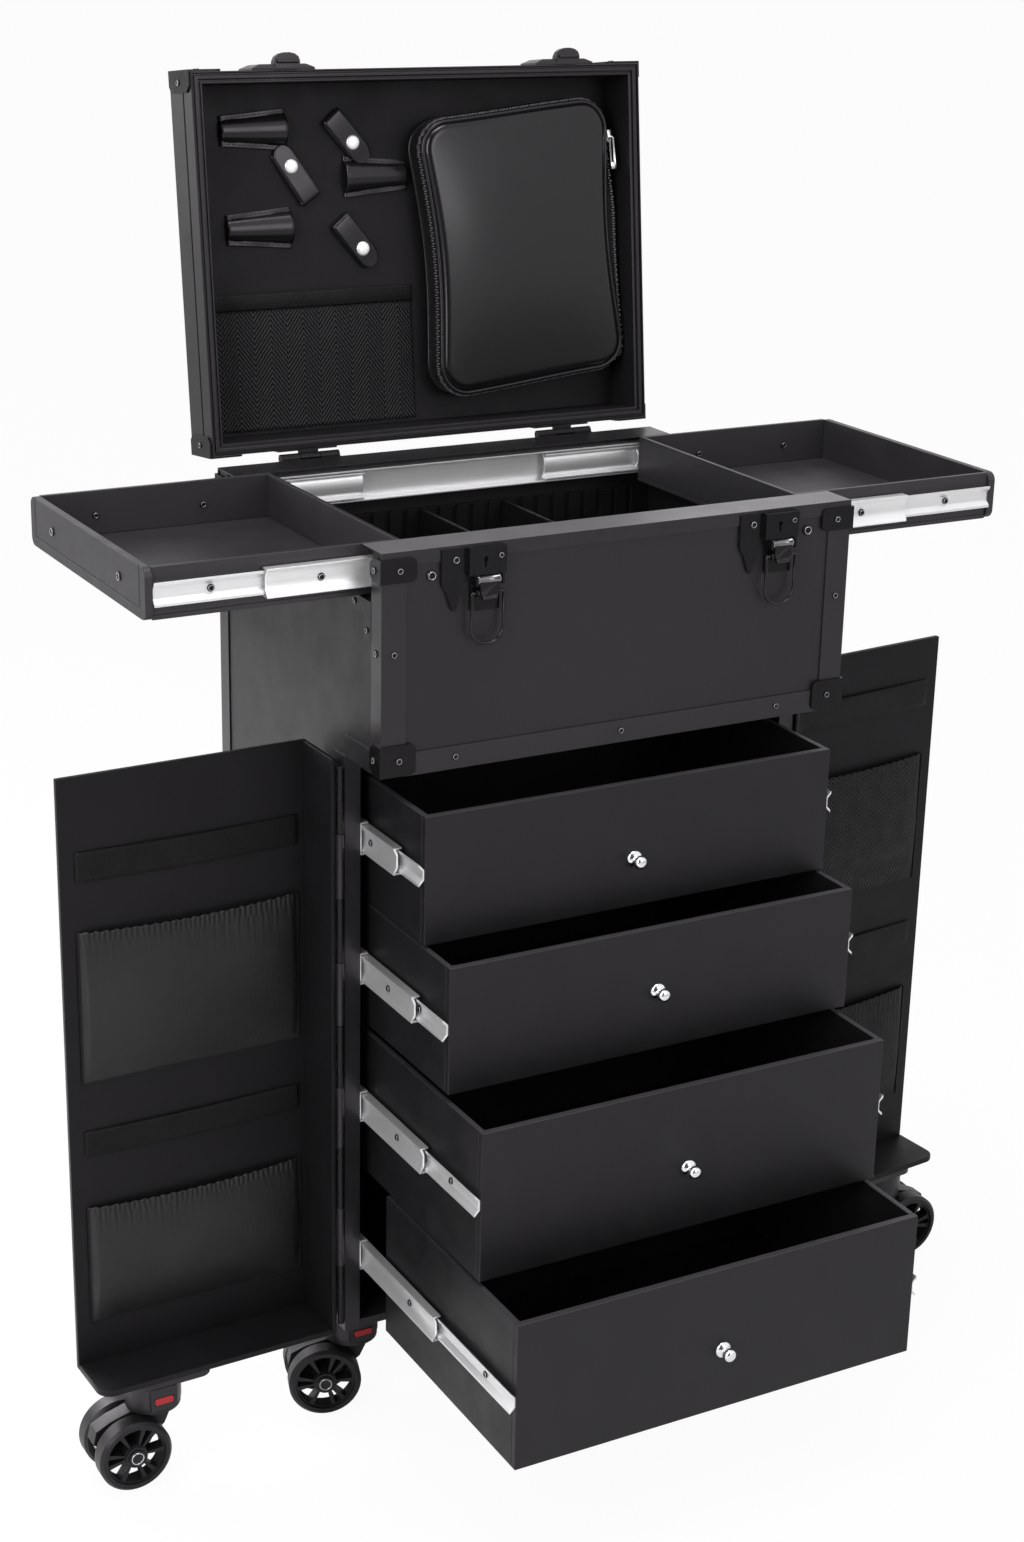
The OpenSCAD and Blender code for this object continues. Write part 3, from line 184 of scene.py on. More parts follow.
def woven(name, tone, rough, spec, pitch, depth, sheen):
    """Plain weave of two crossing sets of threads."""
    m, nodes, links, bsdf = new_material(name)
    vec = coords(nodes, links)
    waves = []
    for direction in ("X", "Z"):
        w = put(nodes, "ShaderNodeTexWave", Scale=WAVE / pitch, Distortion=1.2, Detail=1.0)
        w.bands_direction = direction
        links.new(vec, w.inputs["Vector"])
        waves.append(w.outputs["Fac"])
    height = math_node(nodes, links, "MAXIMUM", *waves)
    tone = Vector(tone)
    shade = two_tone(nodes, links, noise(nodes, links, vec, 14, 5), tone * (1 - WEAVE_SPREAD),
                     tone * (1 + WEAVE_SPREAD))
    links.new(shade, bsdf.inputs["Base Color"])
    patches = noise(nodes, links, vec, 60, 4)
    gloss = ranged(nodes, links, patches, rough - WEAVE_ROUGH, rough + WEAVE_ROUGH)
    links.new(gloss, bsdf.inputs["Roughness"])
    bsdf.inputs["Specular IOR Level"].default_value = spec
    bsdf.inputs["Sheen Weight"].default_value = sheen
    bsdf.inputs["Sheen Roughness"].default_value = SHEEN_ROUGH
    bump(nodes, links, bsdf, height, depth, WEAVE_H)
    return m


# Net: width of a column, slant of its threads, and pitches of threads and cross threads, in metres
NET_COLUMN, NET_SLANT, NET_PITCH, NET_CROSS = 0.0122, 1.35, 0.0036, 0.0021
NET_DARK, NET_LIGHT = (0.0012, 0.0011, 0.0013), (0.027, 0.0255, 0.028)
NET_ROUGH, NET_SPEC, CROSS_SHARE = (0.5, 0.68), 0.2, 0.18
NET_BUMP, NET_DEPTH = 0.7, 0.0007


def herringbone(name):
    """Zigzag net: slanting threads that change side from column to column."""
    m, nodes, links, bsdf = new_material(name)
    vec = coords(nodes, links, uv=True)
    parts = nodes.new("ShaderNodeSeparateXYZ")
    links.new(vec, parts.inputs[0])

    def calc(op, *values):
        return math_node(nodes, links, op, *values)

    column = calc("PINGPONG", parts.outputs[0], NET_COLUMN)
    line = calc("ADD", parts.outputs[1], calc("MULTIPLY", column, NET_SLANT))
    thread = calc("SINE", calc("MULTIPLY", line, 2 * math.pi / NET_PITCH))
    thread = calc("ADD", calc("MULTIPLY", thread, 0.5), 0.5)
    cross = calc("SINE", calc("MULTIPLY", parts.outputs[0], 2 * math.pi / NET_CROSS))
    height = calc("ADD", thread, calc("MULTIPLY", cross, CROSS_SHARE))
    links.new(two_tone(nodes, links, height, NET_DARK, NET_LIGHT), bsdf.inputs["Base Color"])
    gloss = ranged(nodes, links, noise(nodes, links, vec, 90, 3), *NET_ROUGH)
    links.new(gloss, bsdf.inputs["Roughness"])
    bsdf.inputs["Specular IOR Level"].default_value = NET_SPEC
    bump(nodes, links, bsdf, height, NET_BUMP, NET_DEPTH)
    return m


# Name, tone, roughness, specular level, grain per metre, its depth and spread of the tone. The lower level of
# the side walls follows the tones of the photo.
PANEL = coated("grained_panel", (0.0085, 0.0080, 0.0088), 0.44, 0.42, 1100, 0.4, 0.12)
SIDE = coated("grained_side", (0.0085, 0.0080, 0.0088), 0.44, 0.27, 1100, 0.4, 0.12)
SHELL = coated("drawer_panel", (0.0062, 0.0058, 0.0064), 0.44, 0.36, 1300, 0.2, 0.12)
LINING = coated("lining_panel", (0.0062, 0.0058, 0.0064), 0.5, 0.2, 900, 0.3, 0.15)
TRIM = coated("coated_trim", (0.0095, 0.0089, 0.0098), 0.33, 0.5, 1600, 0.12, 0.15)
FRAME = coated("lid_trim", (0.0095, 0.0089, 0.0098), 0.34, 0.36, 1600, 0.12, 0.15)
STEEL = coated("black_steel", (0.0075, 0.0070, 0.0077), 0.33, 0.45, 900, 0.1, 0.3)
FITTING = coated("black_fitting", (0.0038, 0.0036, 0.004), 0.24, 0.24, 900, 0.1, 0.3)
# Lighter tone for the top faces of the drawer walls: a painted highlight
DRAWER_TOP_HIGHLIGHT = coated("painted_drawer_top_highlight", (0.036, 0.034, 0.037), 0.42, 0.45, 1400, 0.1, 0.12)
# Lighter tone for the top faces of the front rim cap: a painted highlight
RIM_TOP_HIGHLIGHT = coated("painted_rim_top_highlight", (0.115, 0.109, 0.117), 0.4, 0.5, 1400, 0.1, 0.12)
TRAY = coated("tray_panel", (0.025, 0.0236, 0.0258), 0.42, 0.42, 1300, 0.2, 0.12)
LATCH = coated("black_nickel", (0.0045, 0.0043, 0.0045), 0.14, 0.42, 500, 0.06, 0.2,
               rough_spread=0.05)
ROLL = coated("rolled_nickel", (0.2, 0.195, 0.2), 0.2, 0.5, 500, 0.04, 0.15, metallic=0.9)
ZINC = coated("zinc_slide", (0.86, 0.855, 0.865), 0.4, 0.5, 40, 0.02, 0.03, metallic=0.8,
              stretch=(0.6, 0.6, 60), rough_spread=0.04)
CHROME = coated("chrome", (0.86, 0.865, 0.875), 0.08, 0.5, 60, 0.02, 0.03, metallic=1.0,
                rough_spread=0.03)
NICKEL = coated("nickel_snap", (0.92, 0.92, 0.93), 0.28, 0.5, 90, 0.03, 0.03, metallic=0.6)
# Bright metal: the rings on the axle caps, and the painted highlight rings on the rivet and screw heads
AXLE_RING_AND_RIVET_GLINT = coated("axle_ring_and_painted_rivet_glint", (0.42, 0.42, 0.43), 0.26, 0.5, 400, 0.05, 0.2, metallic=1.0)
RUBBER = coated("wheel_moulding", (0.0085, 0.0082, 0.0088), 0.42, 0.3, 800, 0.12, 0.25)
RED = coated("red_button", (0.3, 0.012, 0.014), 0.38, 0.4, 500, 0.05, 0.2)
HIDE = coated("stitched_hide", (0.0085, 0.0080, 0.0088), 0.25, 0.42, 520, 0.06, 0.2,
              rough_spread=0.03)
GLOSS = coated("glossy_hide", (0.0062, 0.0058, 0.0064), 0.2, 0.2, 420, 0.04, 0.12,
               rough_spread=0.03)
# A clear coat on the zip bag
COAT, COAT_ROUGH = 0.4, 0.15
clear = GLOSS.node_tree.nodes["Principled BSDF"].inputs
clear["Coat Weight"].default_value = COAT
clear["Coat Roughness"].default_value = COAT_ROUGH
THREAD = coated("thread", (0.03, 0.03, 0.031), 0.6, 0.3, 2500, 0.4)
TEETH = coated("zip_teeth", (0.13, 0.125, 0.13), 0.35, 0.5, 900, 0.1, 0.1)
NYLON = woven("satin_nylon", (0.008, 0.0076, 0.0084), 0.4, 0.4, 0.0009, 0.25, 0.04)
KNIT = woven("knit_gusset", (0.0065, 0.0062, 0.0068), 0.6, 0.22, 0.0016, 0.8, 0.05)
BAND = woven("elastic_band", (0.0042, 0.0040, 0.0045), 0.55, 0.2, 0.0012, 0.5, 0.02)
NET = herringbone("herringbone_net")


# Mesh helpers
BOX_FACES = [(0, 1, 3, 2), (4, 6, 7, 5), (0, 4, 5, 1), (2, 3, 7, 6), (0, 2, 6, 4), (1, 5, 7, 3)]


def mesh_piece(name, verts, faces, mat, body, uvs=None, smooth=True):
    """Piece of one material that rides on a body."""
    me = bpy.data.meshes.new(name)
    me.from_pydata([tuple(v) for v in verts], [], faces)
    if uvs is not None:
        layer = me.uv_layers.new(name="flat")
        for loop in me.loops:
            layer.data[loop.index].uv = uvs[loop.vertex_index]
    me.polygons.foreach_set("use_smooth", [smooth] * len(me.polygons))
    bm = bmesh.new()
    bm.from_mesh(me)
    bmesh.ops.recalc_face_normals(bm, faces=bm.faces)
    bm.to_mesh(me)
    bm.free()
    me.update()
    me.materials.append(mat)
    obj = bpy.data.objects.new(name, me)
    scene.collection.objects.link(obj)
    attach(obj, body)
    return obj


def grid(name, nu, nv, at, mat, body, flat, thick):
    """Cloth patch: at(u, v) gives its place, flat its size for the weave."""
    verts, uvs, faces = [], [], []
    for j in range(nv + 1):
        for i in range(nu + 1):
            verts.append(at(i / nu, j / nv))
            uvs.append((i / nu * flat[0], j / nv * flat[1]))
    for j in range(nv):
        for i in range(nu):
            a = j * (nu + 1) + i
            faces.append((a, a + 1, a + nu + 2, a + nu + 1))
    obj = mesh_piece(name, verts, faces, mat, body, uvs)
    obj["flat_area"] = sum(p.area for p in obj.data.polygons)
    mod = obj.modifiers.new("thickness", "SOLIDIFY")
    mod.thickness = thick
    mod.offset = 0.0
    mod.use_even_offset = True
    return obj


def ring_faces(rows, sides, closed=False, caps=True):
    """Faces over rows of rings. Rows that don't close on themselves get caps."""
    faces = []
    for i in range(rows if closed else rows - 1):
        j = (i + 1) % rows
        for k in range(sides):
            m = (k + 1) % sides
            faces.append((i * sides + k, i * sides + m, j * sides + m, j * sides + k))
    if caps and not closed:
        faces.append(tuple(range(sides)))
        faces.append(tuple((rows - 1) * sides + k for k in range(sides)))
    return faces


def circle_round(centre, radius, u, w, count):
    """Points of a circle in the plane of u and w."""
    turns = [2 * math.pi * k / count for k in range(count)]
    return [centre + radius * (math.cos(a) * u + math.sin(a) * w) for a in turns]


def rings_piece(name, rings, mat, body, close_last=False, close_first=False):
    """Skin over closed rings of equal point count."""
    n = len(rings[0])
    verts = [p for ring in rings for p in ring]
    faces = ring_faces(len(rings), n, caps=False)
    for wanted, base in ((close_first, 0), (close_last, (len(rings) - 1) * n)):
        if wanted:
            mid = sum((Vector(verts[base + i]) for i in range(n)), Vector()) / n
            verts.append(mid)
            faces += [(base + i, base + (i + 1) % n, len(verts) - 1) for i in range(n)]
    return mesh_piece(name, verts, faces, mat, body)


def tube_mesh(points, radius, closed, sides):
    """Round wire along a path."""
    pts = [Vector(p) for p in points]
    n = len(pts)
    verts = []
    normal = None
    for i in range(n):
        ahead_p = pts[(i + 1) % n] if closed or i + 1 < n else pts[i]
        back_p = pts[i - 1] if closed or i > 0 else pts[i]
        t = (ahead_p - back_p).normalized()
        if normal is None:
            normal = t.orthogonal().normalized()
        normal = (normal - t * normal.dot(t)).normalized()
        side = t.cross(normal)
        verts += circle_round(pts[i], radius, normal, side, sides)
    return verts, ring_faces(n, sides, closed)


def tube(name, points, radius, mat, body, sides, closed=False):
    return mesh_piece(name, *tube_mesh(points, radius, closed, sides), mat, body)


def in_mm(points):
    """Points of a profile that is given in mm."""
    return [(r * MM, h * MM) for r, h in points]


def eased(obj, width, angle=None):
    """Rounds the edges of a piece, by a width in mm."""
    bev = obj.modifiers.new("eased", "BEVEL")
    bev.width = width * MM
    bev.segments = 2
    if angle:
        bev.angle_limit = math.radians(angle)
    return bev


class Batch:
    """Collects small repeated bits into one mesh."""

    def __init__(self):
        self.verts, self.faces = [], []

    def add(self, verts, faces):
        base = len(self.verts)
        self.verts += [Vector(v) for v in verts]
        self.faces += [tuple(base + i for i in f) for f in faces]

    def box(self, centre, a, b, c):
        """Box with half edges a, b, c."""
        corners = [centre + i * a + j * b + k * c for i in (-1, 1) for j in (-1, 1) for k in (-1, 1)]
        self.add(corners, BOX_FACES)

    def lathe(self, centre, axis, profile, sides):
        """Turned bit from [radius, height] points."""
        axis = axis.normalized()
        u = axis.orthogonal().normalized()
        w = axis.cross(u)
        verts = []
        for r, h in profile:
            verts += circle_round(centre + axis * h, r, u, w, sides)
        self.add(verts, ring_faces(len(profile), sides))

    def piece(self, name, mat, body, smooth=True):
        return mesh_piece(name, self.verts, self.faces, mat, body, smooth=smooth)


# Hard pieces: the solids with eased edges. Points closer than WELD become one, faces within FLAT degrees are
# joined, and an island smaller than RIVET is a rivet or a screw.
WELD, FLAT, RIVET, TOUCH = 2e-6, 0.4, 0.0105, 1e-5
# A face counts as turned to an axis above this share of its normal; height of the case's upper rim caps
FACING, RIM_CAP_Z = 0.9, 0.629
rivets = {}


def islands(bm):
    """Groups of vertices that hang together."""
    seen = set()
    for v in bm.verts:
        if v.index in seen:
            continue
        stack, found = [v], []
        seen.add(v.index)
        while stack:
            q = stack.pop()
            found.append(q)
            for e in q.link_edges:
                o = e.other_vert(q)
                if o.index not in seen:
                    seen.add(o.index)
                    stack.append(o)
        yield found


def note_rivet(group, body):
    """Keeps a rivet's top, axis and radius, for the painted highlight ring on its head."""
    co = np.array([v.co for v in group])
    mid = co.mean(0)
    axis = np.linalg.svd(co - mid)[2][2]
    along = (co - mid) @ axis
    across = np.linalg.norm(co - mid - along[:, None] * axis, axis=1)
    top, low = along.max(), along.min()
    r_top = across[along > top - TOUCH].max()
    r_low = across[along < low + TOUCH].max()
    if r_top > r_low:
        axis, top, low, r_low = -axis, -low, -top, r_top
    rivets.setdefault(body, []).append((Vector(mid) + Vector(axis) * float(top), Vector(axis), float(r_low)))


def hard(node, mat, ease, small=None, extra=None, limit=38, leave=None):
    """Shows a CAD node with eased edges. Small islands and the faces that extra picks have own
    materials, and islands that leave picks are left out."""
    src = NODES[node]
    body = src["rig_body"]
    me = src.data.copy()
    me.name = node + "_shown"
    me.materials.clear()
    mats = [mat] + [m for m in (small, extra[0] if extra else None) if m]
    for m in mats:
        me.materials.append(m)
    bm = bmesh.new()
    bm.from_mesh(me)
    bmesh.ops.remove_doubles(bm, verts=bm.verts, dist=WELD)
    bmesh.ops.dissolve_limit(bm, angle_limit=math.radians(FLAT), verts=bm.verts, edges=bm.edges)
    bm.verts.ensure_lookup_table()
    bm.verts.index_update()
    for f in bm.faces:
        f.material_index = 0
        f.smooth = True
    dropped = []
    for group in islands(bm):
        co = np.array([v.co for v in group])
        size = co.max(0) - co.min(0)
        if leave and leave(co):
            dropped += group
        elif size.max() < RIVET and small:
            for v in group:
                for f in v.link_faces:
                    f.material_index = 1
            note_rivet(group, body)
    if extra:
        for f in bm.faces:
            if extra[1](f.calc_center_median(), f.normal):
                f.material_index = len(mats) - 1
    bmesh.ops.delete(bm, geom=dropped, context="VERTS")
    bm.to_mesh(me)
    bm.free()
    obj = bpy.data.objects.new(node + "_shown", me)
    scene.collection.objects.link(obj)
    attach(obj, body)
    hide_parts(node)
    bev = eased(obj, ease, limit)
    bev.limit_method = "ANGLE"
    bev.use_clamp_overlap = True
    wn = obj.modifiers.new("normals", "WEIGHTED_NORMAL")
    wn.keep_sharp = False
    wn.weight = 80


hard("side_walls", SIDE, 0.5)
hard("front_wall", PANEL, 0.5)
hard("back_wall", PANEL, 0.5)
hard("floor_panels", PANEL, 0.5)
# The upward faces of the front rim cap take the lighter tone, a painted highlight; the back rim keeps the
# trim's tone
hard("edge_trims", TRIM, 0.3, small=FITTING,
     extra=(RIM_TOP_HIGHLIGHT, lambda c, n: n.z > FACING and c.z > RIM_CAP_Z and c.y < 0))
hard("case_fittings", FITTING, 0.3, small=FITTING)
hard("well_dividers", LINING, 0.4)
hard("fixed_rails", ZINC, 0.25)
hard("caster_sockets", STEEL, 0.6)
hard("lid_panel", LINING, 0.4, extra=(PANEL, lambda c, n: n.y > FACING))
for side in ("left", "right"):
    hard(side + "_tray", TRAY, 0.5)
    hard(side + "_tray_fittings", ZINC, 0.2, small=FITTING)
    hard(side + "_tray_mid_rails", ZINC, 0.2, small=FITTING)
    hard(side + "_door", LINING, 0.6, extra=(PANEL, lambda c, n: n.y > FACING))
    hard(side + "_door_fittings", STEEL, 0.3)

# Drawers. KNOB is a turned profile of radius and height in mm. The upward faces within BRIM of the top
# get a lighter tone, a painted highlight on the top edges, and what stands out by more than PROUD is the
# knob of the solids.
KNOB = [(5.5, 0.05), (5.8, 0.5), (5.7, 1.5), (4.9, 2.5), (3.2, 3.2), (2.3, 3.9), (2.3, 5.0), (2.9, 5.8),
        (3.8, 6.4), (4.4, 7.2), (4.5, 8.2), (4.3, 9.5), (3.6, 10.6), (2.5, 11.2), (1.1, 11.5), (0.1, 11.5)]
BRIM, PROUD = 0.004, 0.002
for i in range(1, 5):
    drawer_low, drawer_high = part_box("drawer_%d" % i)
    front, brim = drawer_low.y, drawer_high.z - BRIM
    # The upward faces at the top of the drawer take the lighter tone, a painted highlight on the edges
    hard("drawer_%d" % i, SHELL, 0.5, extra=(DRAWER_TOP_HIGHLIGHT, lambda c, n, brim=brim: n.z > FACING and c.z > brim))
    knob = []

    def of_knob(co, y=front, knob=knob):
        """Tells the knob, which stands out in front of the drawer."""
        if co[:, 1].min() > y - PROUD:
            return False
        knob.append(co)
        return True

    hard("drawer_%d_fittings" % i, ZINC, 0.2, small=FITTING, leave=of_knob)
    turned_knob = Batch()
    low, high = knob[0].min(0), knob[0].max(0)
    foot = Vector(((low[0] + high[0]) / 2, front, (low[2] + high[2]) / 2))
    turned_knob.lathe(foot, Vector((0, -1, 0)), in_mm(KNOB), 40)
    turned_knob.piece("drawer_%d_knob" % i, CHROME, "drawer_%d" % i)
    hard("drawer_%d_mid_rails" % i, ZINC, 0.2, small=FITTING)

# Casters
for place_name in ("front_left", "front_right", "rear_left", "rear_right", "left_door", "right_door"):
    hard(place_name + "_fork", RUBBER, 0.6)
    hard(place_name + "_wheels", RUBBER, 0.6, limit=42)
    hard(place_name + "_button", RED, 0.5)

# Dark lines in the grooves of the trays' end panels: the panel's overhang, the groove's inset and width, the
# line's thickness and its depth below the face
END_OVER, GROOVE_IN, GROOVE_W = 2.3 * MM, 6.0 * MM, 1.2 * MM
LINE_T, LINE_IN = 0.3 * MM, 0.35 * MM
for side, sign in (("left", -1), ("right", 1)):
    low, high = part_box(side + "_tray")
    mid, half = (low + high) / 2, (high - low) / 2
    mid.x += sign * (half.x - LINE_IN)
    out = Vector((LINE_T / 2, 0, 0))
    wide = half.y - END_OVER - GROOVE_IN
    line = Batch()
    foot = mid + Vector((0, 0, GROOVE_IN + GROOVE_W / 2 - half.z))
    line.box(foot, out, Vector((0, wide, 0)), Vector((0, 0, GROOVE_W / 2)))
    rise = (GROOVE_IN + GROOVE_W) / 2
    for end in (-1, 1):
        post = mid + Vector((0, end * (wide - GROOVE_W / 2), rise))
        line.box(post, out, Vector((0, GROOVE_W / 2, 0)), Vector((0, 0, half.z - rise)))
    line.piece(side + "_tray_end_line", FITTING, side + "_tray", smooth=False)

# Places on the lid and the doors, in mm: hinge axis of the lid, its turn, back and inner face of the closed
# lid, each door's side and turn, and the doors' hinge and foot
LID_AXIS = (179.5, 630.3)
LID_TURN = math.radians(-96.3)
CASE_BACK = 174.0
LID_FACE = 664.6
DOORS = {"left": (-1, math.radians(-1.5)), "right": (1, math.radians(6.0))}
HINGE_X, DOOR_Y, DOOR_FOOT = 173.0, -25.0, 75.0


def on_lid(x, v, h):
    """Point on the open lid: across, up from the hinge edge, out from the inner face, in mm."""
    dy, dz = CASE_BACK - v - LID_AXIS[0], LID_FACE - h - LID_AXIS[1]
    c, s = math.cos(LID_TURN), math.sin(LID_TURN)
    return Vector((x, LID_AXIS[0] + c * dy - s * dz, LID_AXIS[1] + s * dy + c * dz)) * MM


def on_door(side, s, t, z):
    """Point on a door: out from the hinge, back from the hinge plane, up from the floor, in mm."""
    m, a = DOORS[side]
    return Vector((m * (HINGE_X + s * math.cos(a) - t * math.sin(a)),
                   DOOR_Y + s * math.sin(a) + t * math.cos(a), z)) * MM


def turned(x0, v0, angle):
    """Local patch on the lid face: along, across, height."""
    c, s = math.cos(math.radians(angle)), math.sin(math.radians(angle))
    return lambda a, b, h: on_lid(x0 + a * c - b * s, v0 + a * s + b * c, h)


def smooth_step(t):
    t = min(1.0, max(0.0, t))
    return t * t * (3 - 2 * t)


def arch(t, power=1.0):
    """Rises from 0 to 1 and back over the span 0 to 1."""
    return max(0.0, math.sin(math.pi * t)) ** power


# Lid frame: one moulding with a grooved lip, mitred round the lid. Its profile is inset and height in mm.
LID_W, LID_D = 340.0, 250.0
LID_PROFILE = [(0, -3.6), (0.4, -4.0), (7.6, -4.0), (8.0, -3.6), (8.0, 32.6), (7.5, 33.2), (6.6, 33.2),
               (6.3, 32.0), (5.5, 32.0), (5.2, 33.6), (4.6, 34.0), (2.9, 34.0), (2.4, 33.5), (2.2, 32.4),
               (1.4, 32.4), (1.2, 33.5), (0.9, 34.0), (0.4, 33.9), (0, 33.4), (0, 20.0), (0.3, 19.6),
               (1.3, 19.4), (1.3, 18.1), (0.3, 17.9), (0, 17.5)]
loops = []
for inset, h in LID_PROFILE:
    hw, far = LID_W / 2 - inset, LID_D - inset
    loops.append([on_lid(x, v, h) for x, v in ((-hw, inset), (hw, inset), (hw, far), (-hw, far))])
verts = [p for loop in loops for p in loop]
faces = ring_faces(len(loops), 4, closed=True)
lid_frame = mesh_piece("lid_frame_moulding", verts, faces, FRAME, "lid", smooth=False)
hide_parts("lid_frame")

# Lid catches: a plate with sloped ends and a domed hook, in place of the plain ones of the fittings
LATCH_X = {"left": -100.5, "right": 113.5}
# Shift of the plate from the latch's middle, and half width and lowest height of what belongs to a catch
CATCH_SHIFT, CATCH_HALF, CATCH_LOW = 3, 24, 860
# Rows of the plate: half width, height above the lid, low and high edge
PLATE = [(23, 0, 9, 33), (22.4, 1.6, 9.4, 32.6), (17.5, 3.6, 12, 31.4), (16.5, 3.9, 13, 31)]
HOOK = [(-9.2, 0), (-9.2, 6.0), (-8.2, 8.6), (-5.6, 10.4), (-2.0, 11.2), (2.0, 11.2), (5.6, 10.4), (8.2, 8.6),
        (9.2, 6.0), (9.2, 0)]
HOOK_FRONT, HOOK_BACK, HOOK_SLOPE = 32.6, 24.0, 0.4
BAR_HALF, BAR_H, BAR_OUT, BAR_R = 7.5, 5.4, 33.2, 1.3
# Width in mm and least angle in degrees of the eased edges
CATCH_EASE, LEVER_EASE = (0.4, 25), (0.35, 30)


def of_catch(co):
    """Tells the catch plates, their hooks and rivets among the lid's fittings."""
    mid = co.mean(0) / MM
    near = min(abs(mid[0] - x + CATCH_SHIFT) for x in LATCH_X.values())
    return near < CATCH_HALF and mid[2] > CATCH_LOW


hard("lid_fittings", FITTING, 0.35, small=FITTING, leave=of_catch)
for side, x in LATCH_X.items():
    catch = Batch()
    rows = []
    for half_x, rise, low, high in PLATE:
        corners = ((-1, low), (1, low), (1, high), (-1, high))
        rows.append([on_lid(x - CATCH_SHIFT + sx * half_x, LID_D + rise, h) for sx, h in corners])
    catch.add([p for row in rows for p in row], ring_faces(len(rows), 4))
    front_row = [on_lid(x + a, LID_D + b, HOOK_FRONT) for a, b in HOOK]
    back_row = [on_lid(x + a, LID_D + b, HOOK_BACK + HOOK_SLOPE * b) for a, b in HOOK]
    catch.add(front_row + back_row, ring_faces(2, len(HOOK)))
    bar = [on_lid(x + a, LID_D + BAR_H, BAR_OUT) for a in (-BAR_HALF, 0, BAR_HALF)]
    catch.add(*tube_mesh(bar, BAR_R * MM, False, 12))
    piece = catch.piece(side + "_lid_catch", STEEL, "lid", smooth=False)
    eased(piece, *CATCH_EASE)

# Latch levers: a rolled head on the pin, and a tongue with ears for the bail and a curled tip. HEAD, EAR and
# CURL are turned profiles of radius and length, TONGUE is an outline from the pin, in mm.
LEVER_Y, LEVER_Z, HEAD_HALF = -80.6, 608.0, 8.0
HEAD = [(2.0, 0), (2.75, 0.2), (2.9, 0.8), (2.75, 1.5), (2.45, 1.8), (2.45, 14.2), (2.75, 14.5), (2.9, 15.2),
        (2.75, 15.8), (2.0, 16.0)]
TONGUE = [(-6.4, -1.0), (-6.4, -7.5), (-5.8, -9.2), (-4.6, -10.4), (4.6, -10.4), (5.8, -9.2), (6.4, -7.5),
          (6.4, -1.0)]
TONGUE_FRONT, TONGUE_BACK, TIP_OUT, TIP_Z = -2.2, 1.6, 0.8, -8
EAR, EAR_X, EAR_HALF = [(1.4, 0), (2.1, 0.2), (2.1, 1.4), (1.4, 1.6)], 7.2, 0.8
CURL, CURL_AT = [(1.2, 0), (1.8, 0.3), (1.8, 9.7), (1.2, 10)], (-5.0, -1.6, -11.0)
BAIL_DROP = 8.0
for side, x in LATCH_X.items():
    head = Vector((x, LEVER_Y, LEVER_Z)) * MM
    across = Vector((1, 0, 0))
    roll = Batch()
    roll.lathe(head - across * HEAD_HALF * MM, across, in_mm(HEAD), 24)
    roll.piece(side + "_latch_lever_roll", ROLL, side + "_latch_lever")
    lever = Batch()
    skin = []
    for a, b in TONGUE:
        y = TONGUE_FRONT - (TIP_OUT if b < TIP_Z else 0.0)
        skin.append(head + Vector((a, y, b)) * MM)
    skin += [head + Vector((a, TONGUE_BACK, b)) * MM for a, b in TONGUE]
    lever.add(skin, ring_faces(2, len(TONGUE)))
    for a in (-EAR_X, EAR_X):
        ear = head + Vector((a, 0, -BAIL_DROP)) * MM
        lever.lathe(ear - across * EAR_HALF * MM, across, in_mm(EAR), 20)
    lever.lathe(head + Vector(CURL_AT) * MM, across, in_mm(CURL), 20)
    piece = lever.piece(side + "_latch_lever_shown", LATCH, side + "_latch_lever", smooth=False)
    eased(piece, *LEVER_EASE)
    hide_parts(side + "_latch_lever")

# Latch bails: a wire loop with a round end
BAIL_HALF, BAIL_L, BAIL_BEND, BAIL_STUB, WIRE_R = 11.0, 32.0, 10.0, 5.0, 1.1
for side, x in LATCH_X.items():
    half_loop = [(BAIL_HALF - BAIL_STUB, 0), (BAIL_HALF - 0.7, 0), (BAIL_HALF - 0.2, -0.2), (BAIL_HALF, -0.7)]
    for k in range(13):
        a = math.radians(7.5 * k)
        out = BAIL_HALF - BAIL_BEND + BAIL_BEND * math.cos(a)
        half_loop.append((out, BAIL_BEND - BAIL_L - BAIL_BEND * math.sin(a)))
    path = half_loop + [(-a, b) for a, b in reversed(half_loop)]
    wire = [Vector((x + a, LEVER_Y, LEVER_Z - BAIL_DROP + b)) * MM for a, b in path]
    piece = tube(side + "_latch_bail_shown", wire, WIRE_R * MM, LATCH, side + "_latch_bail", sides=14)
    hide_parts(side + "_latch_bail")

# Tool holsters, a cone between two stitched flanges: place on the lid and turn in degrees. A flange takes
# FLANGE_SHARE of the patch, and a cone rises by CONE_LIFT of its half width, less CONE_SLIM when narrow.
HOLSTERS = [(-115.0, 212.0, 0), (-25.0, 179.0, 180), (-114.0, 147.0, 0)]
HOLSTER_L, HOLSTER_WIDE, HOLSTER_NARROW, FLANGE = 47.6, 28.0, 20.0, 3.9
FLANGE_SHARE, FLANGE_H, FLANGE_WAVE, FLANGE_RUN = 0.14, 0.9, 0.15, 9
CONE_LIFT, CONE_SLIM, CONE_POWER = 0.62, 0.18, 1.1
HIDE_ROUND, HIDE_T = 34, 0.0012
STITCHES, STITCH_H, STITCH_L, STITCH_W, STITCH_T = 12, 1.75, 1.3, 0.3, 0.25


def holster_half(u):
    """Half width of a holster, from its narrow end to its wide one."""
    return 0.5 * (HOLSTER_NARROW + (HOLSTER_WIDE - HOLSTER_NARROW) * u)


